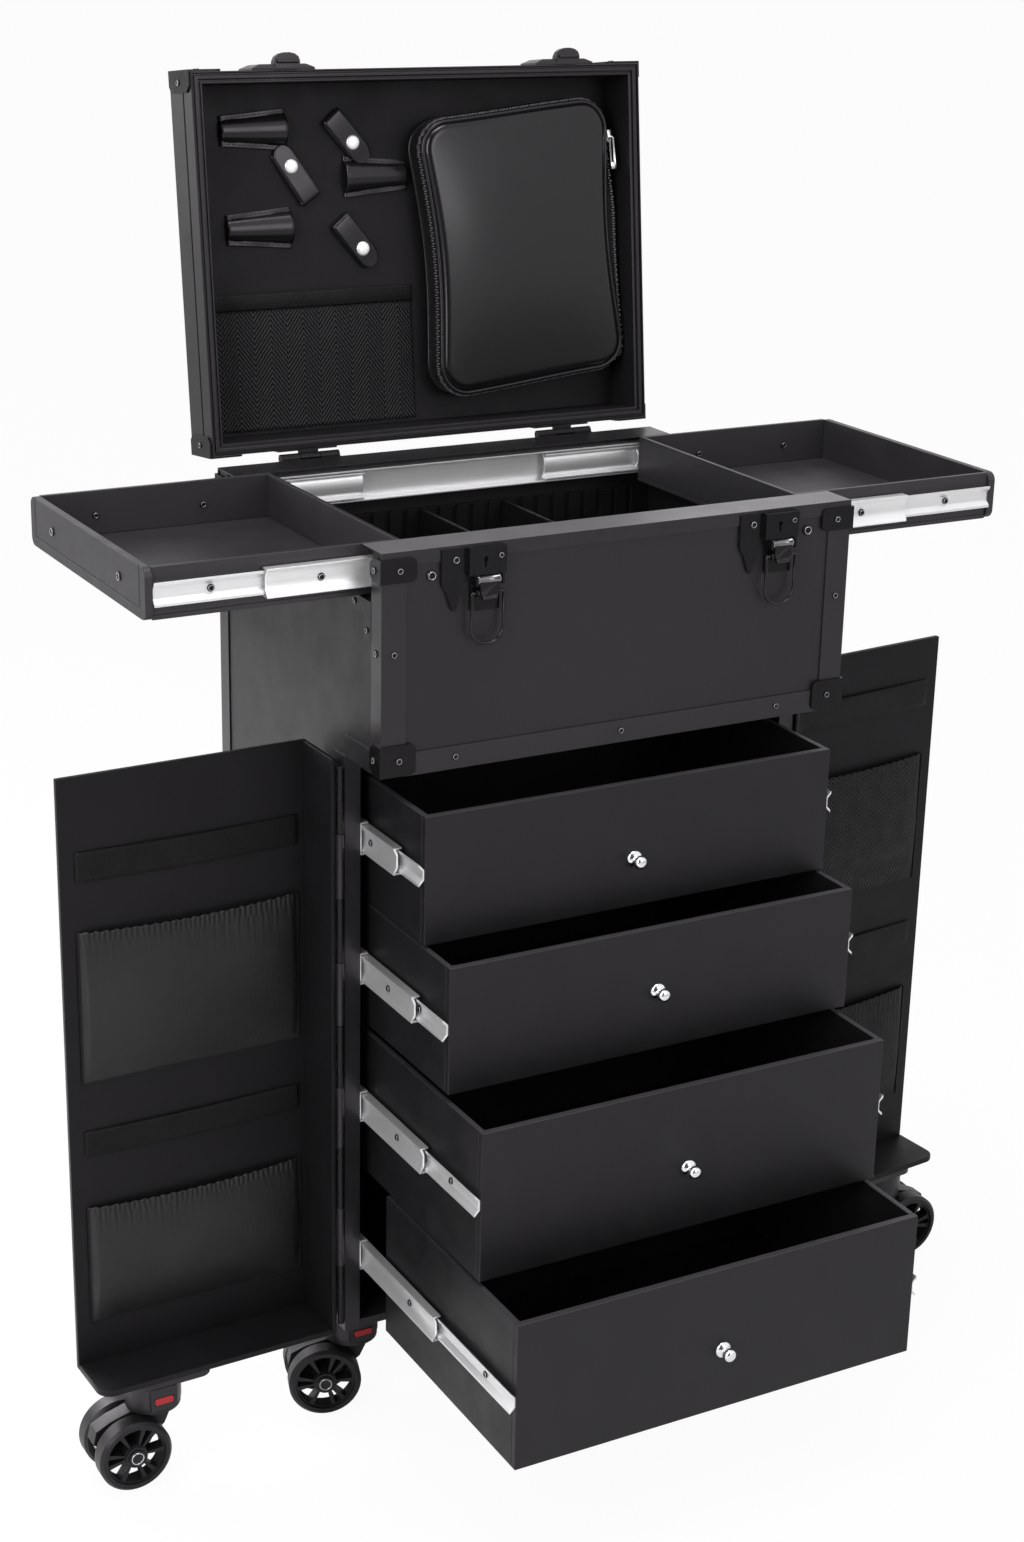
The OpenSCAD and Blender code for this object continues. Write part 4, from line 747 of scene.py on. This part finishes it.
for n, (x0, v0, angle) in enumerate(HOLSTERS):
    at = turned(x0, v0, angle)

    def cone(u, w, at=at):
        a = (u - 0.5) * HOLSTER_L
        core = holster_half(u) - FLANGE
        edge = (FLANGE_SHARE - min(w, 1 - w)) / FLANGE_SHARE
        if edge > 0:
            b = (core + edge * FLANGE) * (-1 if w < 0.5 else 1)
            return at(a, b, FLANGE_H + FLANGE_WAVE * edge * math.sin(FLANGE_RUN * u))
        phi = math.pi * (w - FLANGE_SHARE) / (1 - 2 * FLANGE_SHARE)
        lift = CONE_LIFT * core * (1 - CONE_SLIM + CONE_SLIM * u)
        return at(a, -core * math.cos(phi), FLANGE_H + lift * arch(phi / math.pi, CONE_POWER))

    flat = (HOLSTER_L * MM, HIDE_ROUND * MM)
    piece = grid("holster_%d" % (n + 1), 24, 50, cone, HIDE, "lid", flat, HIDE_T)
    if n == 0:
        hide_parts("lid_organiser")
    stitch = Batch()
    for sign in (-1, 1):
        for k in range(STITCHES):
            u = (k + 0.5) / STITCHES
            a = (u - 0.5) * HOLSTER_L
            b = sign * (holster_half(u) - 0.5 * FLANGE)
            mid = at(a, b, STITCH_H)
            along = at(a + STITCH_L, b, STITCH_H) - mid
            aside = at(a, b + STITCH_W, STITCH_H) - mid
            stitch.box(mid, along, aside, at(a, b, STITCH_H + STITCH_T) - mid)
    stitch.piece("holster_%d_stitches" % (n + 1), THREAD, "lid", smooth=False)

# Snap straps, folded double: place on the lid, turn in degrees, length, place of the snap along it, in mm.
# STRAP_H is the lower layer's height, and STRAP_END the way from the middle of the fold to the end.
STRAPS = [(-86.0, 182.5, -57, 43.0, -6.0), (-45.0, 205.0, -50, 41.0, 4.0), (-42.0, 135.0, -51, 41.0, 6.0)]
STRAP_W, STRAP_H, STRAP_END, STRAP_T = 15.0, 0.8, 3, 0.0011
FOLD_OUT, FOLD_R, UPPER_CROWN, UPPER_DROP, TIP_DROP = 2.4, 2.0, 0.5, 1.2, 0.7
UNDER_STEPS, FOLD_STEPS, UPPER_STEPS = 12, 8, 24
STRAP_FLAT, STRAP_TIP = 0.1, 0.04
SNAP_H = 4.3
SNAP = [(4.9, 0), (5.0, 0.5), (4.7, 1.1), (4.0, 1.45), (2.6, 1.6), (1.0, 1.65), (0.1, 1.65)]
for n, (x0, v0, angle, length, snap) in enumerate(STRAPS):
    at = turned(x0, v0, angle)
    flip = -1 if snap < 0 else 1
    half = length / 2
    path = []
    for k in range(UNDER_STEPS + 1):
        path.append((half - STRAP_END - k / UNDER_STEPS * (length - 2 * STRAP_END), STRAP_H))
    for k in range(1, FOLD_STEPS):
        phi = math.pi * k / FOLD_STEPS
        out = STRAP_END - half - FOLD_OUT * math.sin(phi)
        path.append((out, STRAP_H + FOLD_R * (1 - math.cos(phi))))
    for k in range(UPPER_STEPS + 1):
        f = k / UPPER_STEPS
        lower = UPPER_DROP * smooth_step(f * 1.6) + TIP_DROP * smooth_step(f * 2.5 - 1.5)
        h = STRAP_H + 2 * FOLD_R + UPPER_CROWN * math.sin(math.pi * f) - lower
        path.append((STRAP_END - half + f * (length - STRAP_END), h))
    last = len(path) - 1

    def strap_at(u, w, at=at, path=path, flip=flip, half=half, last=last):
        k = min(int(u * last), last - 1)
        f = u * last - k
        a = path[k][0] * (1 - f) + path[k + 1][0] * f
        h = path[k][1] * (1 - f) + path[k + 1][1] * f
        wide = STRAP_W / 2
        past = a - (half - wide)
        if past > 0 and u > 0.5:
            wide = math.sqrt(max(wide * wide - past * past, STRAP_TIP))
        return at(flip * a, (2 * w - 1) * wide, h)

    flat = (STRAP_FLAT, STRAP_W * MM)
    piece = grid("strap_%d" % (n + 1), 3 * last, 10, strap_at, HIDE, "lid", flat, STRAP_T)
    disc = Batch()
    base = at(snap, 0, SNAP_H)
    out = at(snap, 0, SNAP_H + 1) - base
    disc.lathe(base, out, in_mm(SNAP), 28)
    disc.piece("snap_%d" % (n + 1), NICKEL, "lid")

# Net pocket with a binding at its mouth: middle on the lid and sizes, the net's bulge and ripple, in mm
MESH_X, MESH_V, MESH_W, MESH_H, BIND_H = -80.0, 53.0, 158.0, 84.0, 11.0
NET_LIFT, BIND_LIFT, NET_BULGE, BIND_CROWN, BIND_LAP = 0.7, 1.2, 2.6, 0.9, 2.0
RIPPLE, RIPPLE_RUN = 0.35, 21
NET_T, BIND_T = 0.0006, 0.001


def net_ripple(u):
    """Small waves along the net's mouth, none at its ends."""
    return RIPPLE * math.sin(u * RIPPLE_RUN) * math.sin(math.pi * u)


def net_at(u, w):
    a, b = (u - 0.5) * MESH_W, (w - 0.5) * MESH_H
    lift = NET_LIFT + NET_BULGE * arch(u, 0.5) * smooth_step(w * 1.15 + 0.1)
    return on_lid(MESH_X + a, MESH_V + b, lift + w * net_ripple(u))


net = grid("net_pocket", 90, 40, net_at, NET, "lid", (MESH_W * MM, MESH_H * MM), NET_T)


def binding_at(u, w):
    a = (u - 0.5) * MESH_W
    b = MESH_H / 2 - BIND_LAP + w * BIND_H
    lift = BIND_LIFT + NET_BULGE * arch(u, 0.5) + BIND_CROWN * math.sin(math.pi * w)
    return on_lid(MESH_X + a, MESH_V + b, lift + net_ripple(u))


binding = grid("net_binding", 90, 8, binding_at, BAND, "lid", (MESH_W * MM, BIND_H * MM), BIND_T)
for piece in (binding, net):
    wide = MESH_W * MM

# Zip bag: middle on the lid, width, length, corner radius, turn in degrees, waist, sway of the ends. On the
# right it swells up to FRAME_SIDE, below SWELL_TOP and where its outline faces that side.
BAG_X, BAG_V, BAG_W, BAG_L, BAG_R, BAG_TURN = 80.0, 126.0, 154.0, 192.0, 24.0, 3.4
BAG_WAIST, BAG_SWAY = 6.5, 2.4
SIDE_STEPS, CORNER_STEPS, WAIST_POWER = 26, 12, 1.5
FRAME_SIDE, SWELL_TOP, SWELL_RUN, SWELL_FROM, SWELL_SPAN = 161.0, 72, 60, 0.5, 0.4


def bag_outline():
    """Outline of the bag and its outward normals, in mm from the middle."""
    pts = []
    hw, hl = BAG_W / 2 - BAG_R, BAG_L / 2 - BAG_R
    corners = ((hw, -hl, -90), (hw, hl, 0), (-hw, hl, 90), (-hw, -hl, 180))
    sides = ((BAG_W / 2, -hl, 0, 2 * hl), (hw, BAG_L / 2, -2 * hw, 0), (-BAG_W / 2, hl, 0, -2 * hl),
             (-hw, -BAG_L / 2, 2 * hw, 0))
    for (cx, cy, a0), (x0, y0, dx, dy) in zip(corners, sides):
        for k in range(CORNER_STEPS):
            a = math.radians(a0 + 90 * k / CORNER_STEPS)
            pts.append((cx + BAG_R * math.cos(a), cy + BAG_R * math.sin(a)))
        for k in range(SIDE_STEPS):
            f = k / SIDE_STEPS
            pts.append((x0 + dx * f, y0 + dy * f))
    shaped = []
    for x, y in pts:
        pull = BAG_WAIST * math.cos(math.pi / 2 * min(1.0, abs(y) / (BAG_L / 2))) ** WAIST_POWER
        sway = BAG_SWAY * math.sin(math.pi * x / BAG_W) * abs(y) / (BAG_L / 2)
        shaped.append((x - math.copysign(pull, x) * min(1.0, abs(x) / (BAG_W / 2)), y + sway))
    normals = []
    n = len(shaped)
    for i in range(n):
        dx = shaped[(i + 1) % n][0] - shaped[i - 1][0]
        dy = shaped[(i + 1) % n][1] - shaped[i - 1][1]
        d = math.hypot(dx, dy)
        normals.append((dy / d, -dx / d))
    return shaped, normals


outline, normals = bag_outline()
on_bag = turned(BAG_X, BAG_V, BAG_TURN)


def swell(x, y, nx):
    """How far the side of the bag can swell on the right, up to the frame of the lid, in mm."""
    room = FRAME_SIDE - on_bag(x, y, 0).x / MM
    low = smooth_step((SWELL_TOP - y) / SWELL_RUN)
    return max(0.0, room) * low * smooth_step((nx - SWELL_FROM) / SWELL_SPAN)


def bag_ring(inset, h, share=0.0):
    """Ring round the bag, inside its outline, with a share of the swell."""
    ring = []
    for (x, y), (nx, ny) in zip(outline, normals):
        out = share * swell(x, y, nx)
        ring.append(on_bag(x - nx * inset + out, y - ny * inset, h))
    return ring


# Rings of the gusset, from the lid up: inset, height, share of the swell
GUSSET = [(9, 0.2), (4, 0.3), (1.4, 2.2, 0.4), (0.3, 6, 0.85), (0, 10, 1.0), (0.4, 14, 0.95),
          (0.8, 16.2, 0.8), (1.6, 17, 0.65), (1.6, 19.4, 0.35), (1.2, 20, 0.15), (1.8, 20.6),
          (3.4, 20.9), (6, 20.9)]
gusset = rings_piece("zip_bag_gusset", [bag_ring(*row) for row in GUSSET], KNIT, "lid", close_first=True)
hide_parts("zip_bag")
# Cover: inset and height of its seam, round edge, dome, insets of the outer rings, shrink of the inner ones
COVER_IN, COVER_H, EDGE, EDGE_H, DOME_H, DOME_SIDE, DOME_POWER = 3.4, 20.6, 5.0, 3.4, 3.8, 2.2, 0.8
OUTER = (0, 0.2, 0.6, 1.2, 2.0, 2.9, 3.9, 5, 6.5, 8.2, 10, 12, 14)
INNER_IN, INNER = 17.4, (0.95, 0.88, 0.8, 0.7, 0.6, 0.5, 0.4, 0.3, 0.2, 0.1, 0.03)
HEM_RING, PIPING, FOOT_PIPING = (4.2, 19.8), (2.4, 21.2), (1.0, 3.2)


def cover_ring(inset, f=1.0):
    """Ring of the cover, which has a round edge and a slow dome; f shrinks it about the middle."""
    near = min(1.0, (inset - COVER_IN) / EDGE)
    edge = COVER_H + EDGE_H * math.sqrt(1 - (1 - near) ** 2)
    ring = []
    for (x, y), (nx, ny) in zip(outline, normals):
        px, py = (x - nx * inset) * f, (y - ny * inset) * f
        across = 1 - min(1.0, abs(2 * px / BAG_W)) ** DOME_SIDE
        dome = across * (1 - min(1.0, abs(2 * py / BAG_L)) ** DOME_SIDE)
        ring.append(on_bag(px, py, edge + DOME_H * dome ** DOME_POWER))
    return ring


rows = [bag_ring(*HEM_RING)] + [cover_ring(COVER_IN + d) for d in OUTER]
rows += [cover_ring(INNER_IN, f) for f in INNER]
cover = rings_piece("zip_bag_cover", rows, GLOSS, "lid", close_last=True)
piping = tube("zip_bag_piping", bag_ring(*PIPING), 1.6 * MM, HIDE, "lid", closed=True, sides=10)
foot_piping = tube("zip_bag_foot_piping", bag_ring(*FOOT_PIPING), 1.2 * MM, HIDE, "lid", closed=True, sides=8)
# Zip teeth: pitch, inset, height, zigzag, share of the swell, and half edges outward, along and up
TOOTH_PITCH, TOOTH_IN, TOOTH_H, TOOTH_SHIFT, TEETH_SHARE = 1.7, 0.5, 18.2, 0.55, 0.55
TOOTH_OUT, TOOTH_RUN, TOOTH_UP = 0.7, 0.45, 0.8
teeth = Batch()
count = len(outline)
for i in range(count):
    x, y = outline[i]
    x2, y2 = outline[(i + 1) % count]
    nx, ny = normals[i]
    gap = math.hypot(x2 - x, y2 - y)
    steps = max(1, round(gap / TOOTH_PITCH))
    for k in range(steps):
        f = (k + 0.5) / steps
        px = x + (x2 - x) * f - nx * TOOTH_IN + TEETH_SHARE * swell(x, y, nx)
        py = y + (y2 - y) * f - ny * TOOTH_IN
        shift = TOOTH_SHIFT if (i + k) % 2 else -TOOTH_SHIFT
        mid = on_bag(px, py, TOOTH_H + shift)
        out = on_bag(px + nx * TOOTH_OUT, py + ny * TOOTH_OUT, TOOTH_H + shift) - mid
        run = on_bag(px - ny * TOOTH_RUN, py + nx * TOOTH_RUN, TOOTH_H + shift) - mid
        up = on_bag(px, py, TOOTH_H + TOOTH_UP + shift) - mid
        teeth.box(mid, out, run, up)
teeth.piece("zip_bag_teeth", TEETH, "lid", smooth=False)

# Zip slider and puller: inset, place along the bag and height; then the puller's wire loop and its place
SLIDER_IN, SLIDER_V, SLIDER_H = 1.4, 70.0, 18.6
PULL_X, PULL_V, PULL_H, PULL_R, PULL_HALF, PULL_WIRE, PULL_STEPS = 1.2, -11.0, 4.6, 1.5, 9.0, 0.85, 40
slider = Batch()
sx = BAG_W / 2 - SLIDER_IN
mid = on_bag(sx, SLIDER_V, SLIDER_H)
ex = on_bag(sx + 1, SLIDER_V, SLIDER_H) - mid
ev = on_bag(sx, SLIDER_V + 1, SLIDER_H) - mid
eh = on_bag(sx, SLIDER_V, SLIDER_H + 1) - mid
slider.box(mid, ex * 2.4, ev * 4.2, eh * 2.6)
slider.box(mid + eh * 3.2, ex * 1.0, ev * 2.6, eh * 0.8)
loop = []
for k in range(PULL_STEPS):
    a = 2 * math.pi * k / PULL_STEPS
    bend = PULL_HALF * math.copysign(1, math.sin(a)) if abs(math.sin(a)) > 0.02 else 0.0
    along = PULL_V + PULL_R * math.sin(a) + bend
    loop.append(mid + ex * (PULL_X + PULL_R * math.cos(a)) + ev * along + eh * PULL_H)
slider.add(*tube_mesh(loop, PULL_WIRE * MM, True, 8))
slider.box(mid + ev * (PULL_V - PULL_HALF - 0.5) + ex * PULL_X + eh * PULL_H, ex * 1.9, ev * 2.2, eh * 0.8)
puller = slider.piece("zip_puller", CHROME, "lid")
eased(puller, 0.3)

# Door bands and gathered pockets, in mm. They are sewn from S0 to S1, and each is given by its low edge and
# height as shares of the door's height.
DOOR_FACE, DOOR_H, S0, S1 = 41.0, 412.0, 11.0, 162.0
SEWN = (S1 - S0) * MM
POCKETS = {"left": [(0.5, 0.2525), (0.08, 0.2063)], "right": [(0.5437, 0.2427), (0.1044, 0.2233)]}
POCKET_CLOTH = {"left": [NYLON, NYLON], "right": [NET, KNIT]}
BANDS = {"left": [(0.8325, 0.0485), (0.3738, 0.0437)], "right": [(0.8762, 0.0485), (0.415, 0.0437)]}
BAND_LIFT, BAND_BULGE, BAND_CROWN, BAND_SAG, BAND_T = 0.5, 1.1, 0.25, 0.8, 0.0009
# Pockets: share sewn flat at the sides, belly, lean of the mouth, hem, gathers, waves and dip of the edge
HELD, BELLY, BELLY_AT, LEAN, POCKET_LIFT, POCKET_T = 0.035, 8.5, 0.45, 0.5, 0.5, 0.0006
HEM_FROM, HEM_RUN, GATHER_FROM, GATHER_RUN, GATHER_POWER = 0.925, 0.02, 0.62, 0.3, 2.4
GATHER, HEM_GATHER, EDGE_WAVE, EDGE_RUN, DIP = 0.42, 0.26, 0.4, 0.05, 2.2
FOLDS, FINE_FOLDS, EDGE_FOLDS = 27, 43, 23
GATHERED = {"left": 1.0, "right": 0.45}
SEAM_OUT, SEAM_R = 1.0, 0.7


def drifting(u, waves, start, depth, rate, n):
    """Wave along a pocket whose phase drifts, so that its folds differ; start, depth and rate are free."""
    return math.sin(2 * math.pi * waves * u + start + depth * math.sin(rate * u + n))


for side in ("left", "right"):
    body = side + "_door"
    for n, (low, tall) in enumerate(BANDS[side]):
        z0, hz = DOOR_FOOT + low * DOOR_H, tall * DOOR_H

        def band_at(u, w, z0=z0, hz=hz, side=side):
            s = S0 + u * (S1 - S0)
            lift = BAND_LIFT + BAND_BULGE * arch(u, 0.6) + BAND_CROWN * math.sin(math.pi * w)
            sag = BAND_SAG * math.sin(math.pi * u)
            return on_door(side, s, DOOR_FACE - lift, z0 + hz * w - sag)

        name = "%s_door_band_%d" % (side, n + 1)
        piece = grid(name, 60, 8, band_at, BAND, body, (SEWN, hz * MM), BAND_T)
    for n, (low, tall) in enumerate(POCKETS[side]):
        z0, hz = DOOR_FOOT + low * DOOR_H, tall * DOOR_H

        def pocket_at(u, w, z0=z0, hz=hz, side=side, n=n):
            s = S0 + u * (S1 - S0)
            held = smooth_step(min(u, 1 - u) / HELD)
            under = math.sin(math.pi / 2 * min(1.0, w / BELLY_AT))
            lean = 1 - LEAN * smooth_step((w - BELLY_AT) / (1 - BELLY_AT))
            out = POCKET_LIFT + held * BELLY * under * lean * arch(u, 0.3)
            hem = smooth_step((w - HEM_FROM) / HEM_RUN)
            near = min(1.0, max(0.0, (w - GATHER_FROM) / GATHER_RUN)) ** GATHER_POWER
            loose = (0.35 + 0.65 * u) * (0.65 + 0.35 * math.sin(5.3 * u + 1.1 + 2 * n))
            fold = 0.6 * drifting(u, FOLDS, 0, 1.6, 7, n) + 0.4 * drifting(u, FINE_FOLDS, 2.0, 1.9, 4, 2 * n)
            tight = HEM_GATHER * drifting(u, FINE_FOLDS, 0, 1.7, 13, n)
            ruffle = (1 - hem) * GATHER * loose * near * fold + hem * tight
            out += GATHERED[side] * held * ruffle
            top = smooth_step((w - 1 + EDGE_RUN) / EDGE_RUN)
            edge = EDGE_WAVE * math.sin(2 * math.pi * EDGE_FOLDS * u) * top
            dip = DIP * math.sin(math.pi * u) * w
            return on_door(side, s, DOOR_FACE - out, z0 + hz * w + edge - dip)

        name = "%s_door_pocket_%d" % (side, n + 1)
        piece = grid(name, 260, 64, pocket_at, POCKET_CLOTH[side][n], body, (SEWN, hz * MM), POCKET_T)
        if n == 0:
            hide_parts(side + "_door_pockets")
        seam = Batch()
        for s in (S0, S1):
            line = [on_door(side, s, DOOR_FACE - SEAM_OUT, z0 + hz * f) for f in np.linspace(0, 0.99, 30)]
            seam.add(*tube_mesh(line, SEAM_R * MM, False, 8))
        seam.piece(name + "_piping", BAND, body)

# Bright rings on the axle caps: the casters' trail, axle height and caps in mm, then their places and turns
TRAIL, AXLE_Z, CAP_OUT, CAP_R, RING_R = 20.0, 25.0, 23.4, 4.0, 0.55
DOOR_CASTER = (129.0, 21.0)
CASTERS = {"front_left": ((-150, 9), 162), "front_right": ((150, 9), 0), "rear_left": ((-150, 129), 90),
           "rear_right": ((150, 129), 90)}
for side, yaw in (("left", 180), ("right", 0)):
    spot = on_door(side, *DOOR_CASTER, 0.0) / MM
    CASTERS[side + "_door"] = ((spot.x, spot.y), yaw)
for place_name, ((x, y), yaw) in CASTERS.items():
    c, s = math.cos(math.radians(yaw)), math.sin(math.radians(yaw))
    hub = Vector((x + TRAIL * c, y + TRAIL * s, AXLE_Z))
    ring = Batch()
    for sign in (-1, 1):
        centre = hub + sign * CAP_OUT * Vector((-s, c, 0))
        circle = circle_round(centre, CAP_R, Vector((c, s, 0)), Vector((0, 0, 1)), 28)
        ring.add(*tube_mesh([p * MM for p in circle], RING_R * MM, True, 8))
    ring.piece(place_name + "_axle_rings", AXLE_RING_AND_RIVET_GLINT, place_name + "_fork")

# Painted highlights on the dark rivet and screw heads, each a ring of bright metal: depth below the top,
# radius and wire as shares of the head's radius
GLINT_DEPTH, GLINT_SHARE, GLINT_WIRE = 0.00012, 0.7, 0.1
for body, heads in rivets.items():
    rim = Batch()
    for top, axis, r in heads:
        u = axis.orthogonal().normalized()
        circle = circle_round(top - axis * GLINT_DEPTH, GLINT_SHARE * r, u, axis.cross(u), 18)
        rim.add(*tube_mesh(circle, GLINT_WIRE * r, True, 6))
    rim.piece(body + "_painted_rivet_glints", AXLE_RING_AND_RIVET_GLINT, body)

# Stage: a wide white floor. The camera sees it mostly as plain white, with a faint shadow.
REACH, FLOOR_Z, FLOOR_TONE, PLAIN_SHARE = 60.0, -0.0004, (0.8, 0.8, 0.8, 1), 0.95
floor_mesh = bpy.data.meshes.new("floor")
floor_corners = [(x * REACH, y * REACH, FLOOR_Z) for x, y in ((-1, -1), (1, -1), (1, 1), (-1, 1))]
floor_mesh.from_pydata(floor_corners, [], [(0, 1, 2, 3)])
floor = bpy.data.objects.new("floor", floor_mesh)
scene.collection.objects.link(floor)
floor_mat, nodes, links, bsdf = new_material("pale_floor")
path = nodes.new("ShaderNodeLightPath")
glow = nodes.new("ShaderNodeEmission")
glow.inputs["Strength"].default_value = 1.0
matte = nodes.new("ShaderNodeBsdfDiffuse")
matte.inputs["Color"].default_value = FLOOR_TONE
share = math_node(nodes, links, "MULTIPLY", path.outputs["Is Camera Ray"], PLAIN_SHARE)
mix = nodes.new("ShaderNodeMixShader")
links.new(share, mix.inputs["Fac"])
links.new(matte.outputs[0], mix.inputs[1])
links.new(glow.outputs[0], mix.inputs[2])
links.new(mix.outputs[0], nodes["Material Output"].inputs["Surface"])
floor_mesh.materials.append(floor_mat)

# World: dark for glossy rays toward the front left, where the photo was taken from, within a cone given by
# cosines. Other light is even, and the camera sees plain white.
DARK_TOWARD, DARK_CONE, DARK_LEVEL, EVEN_LEVEL = (-0.5, -0.82, 0.28), (0.7, 0.93), 0.1, 0.5
world = bpy.data.worlds.new("studio")
scene.world = world
world.use_nodes = True
wn, wl = world.node_tree.nodes, world.node_tree.links
back = wn["Background"]
back.inputs["Color"].default_value = (1, 1, 1, 1)
wp = wn.new("ShaderNodeLightPath")
wc = wn.new("ShaderNodeTexCoord")
toward = wn.new("ShaderNodeVectorMath")
toward.operation = "DOT_PRODUCT"
toward.inputs[1].default_value = DARK_TOWARD
wl.new(wc.outputs["Generated"], toward.inputs[0])
room = ranged(wn, wl, toward.outputs["Value"], 1.0, DARK_LEVEL, *DARK_CONE)
glossy = math_node(wn, wl, "MULTIPLY", room, wp.outputs["Is Glossy Ray"])
plain = ranged(wn, wl, wp.outputs["Is Glossy Ray"], EVEN_LEVEL, 0.0, 0.0, 1.0)
light = math_node(wn, wl, "ADD", glossy, plain)
seen = math_node(wn, wl, "MAXIMUM", light, wp.outputs["Is Camera Ray"])
wl.new(seen, back.inputs["Strength"])


def softbox(name, at, target, size, energy):
    data = bpy.data.lights.new(name, "AREA")
    data.shape = "RECTANGLE"
    data.size, data.size_y = size
    data.energy = energy
    lamp = bpy.data.objects.new(name, data)
    lamp.location = at
    lamp.rotation_euler = (Vector(target) - Vector(at)).to_track_quat("-Z", "Y").to_euler()
    scene.collection.objects.link(lamp)


# Lamps: place, what they point at, size in metres and power in watts
softbox("key", (-2.2, -1.45, 1.7), (0, 0, 0.6), (1.0, 2.2), 46)
softbox("side", (-1.1, 1.2, 0.8), (-0.5, 0.75, 0.0), (0.7, 0.7), 6)
softbox("low", (-0.42, 0.5, 0.5), (-0.38, 0.48, 0.0), (0.3, 0.3), 5)
softbox("fill", (0.75, -2.7, 1.55), (0.08, 0.15, 0.85), (0.9, 1.2), 10)
softbox("top", (-0.2, -0.3, 2.7), (0, 0, 0.6), (1.2, 0.8), 24)
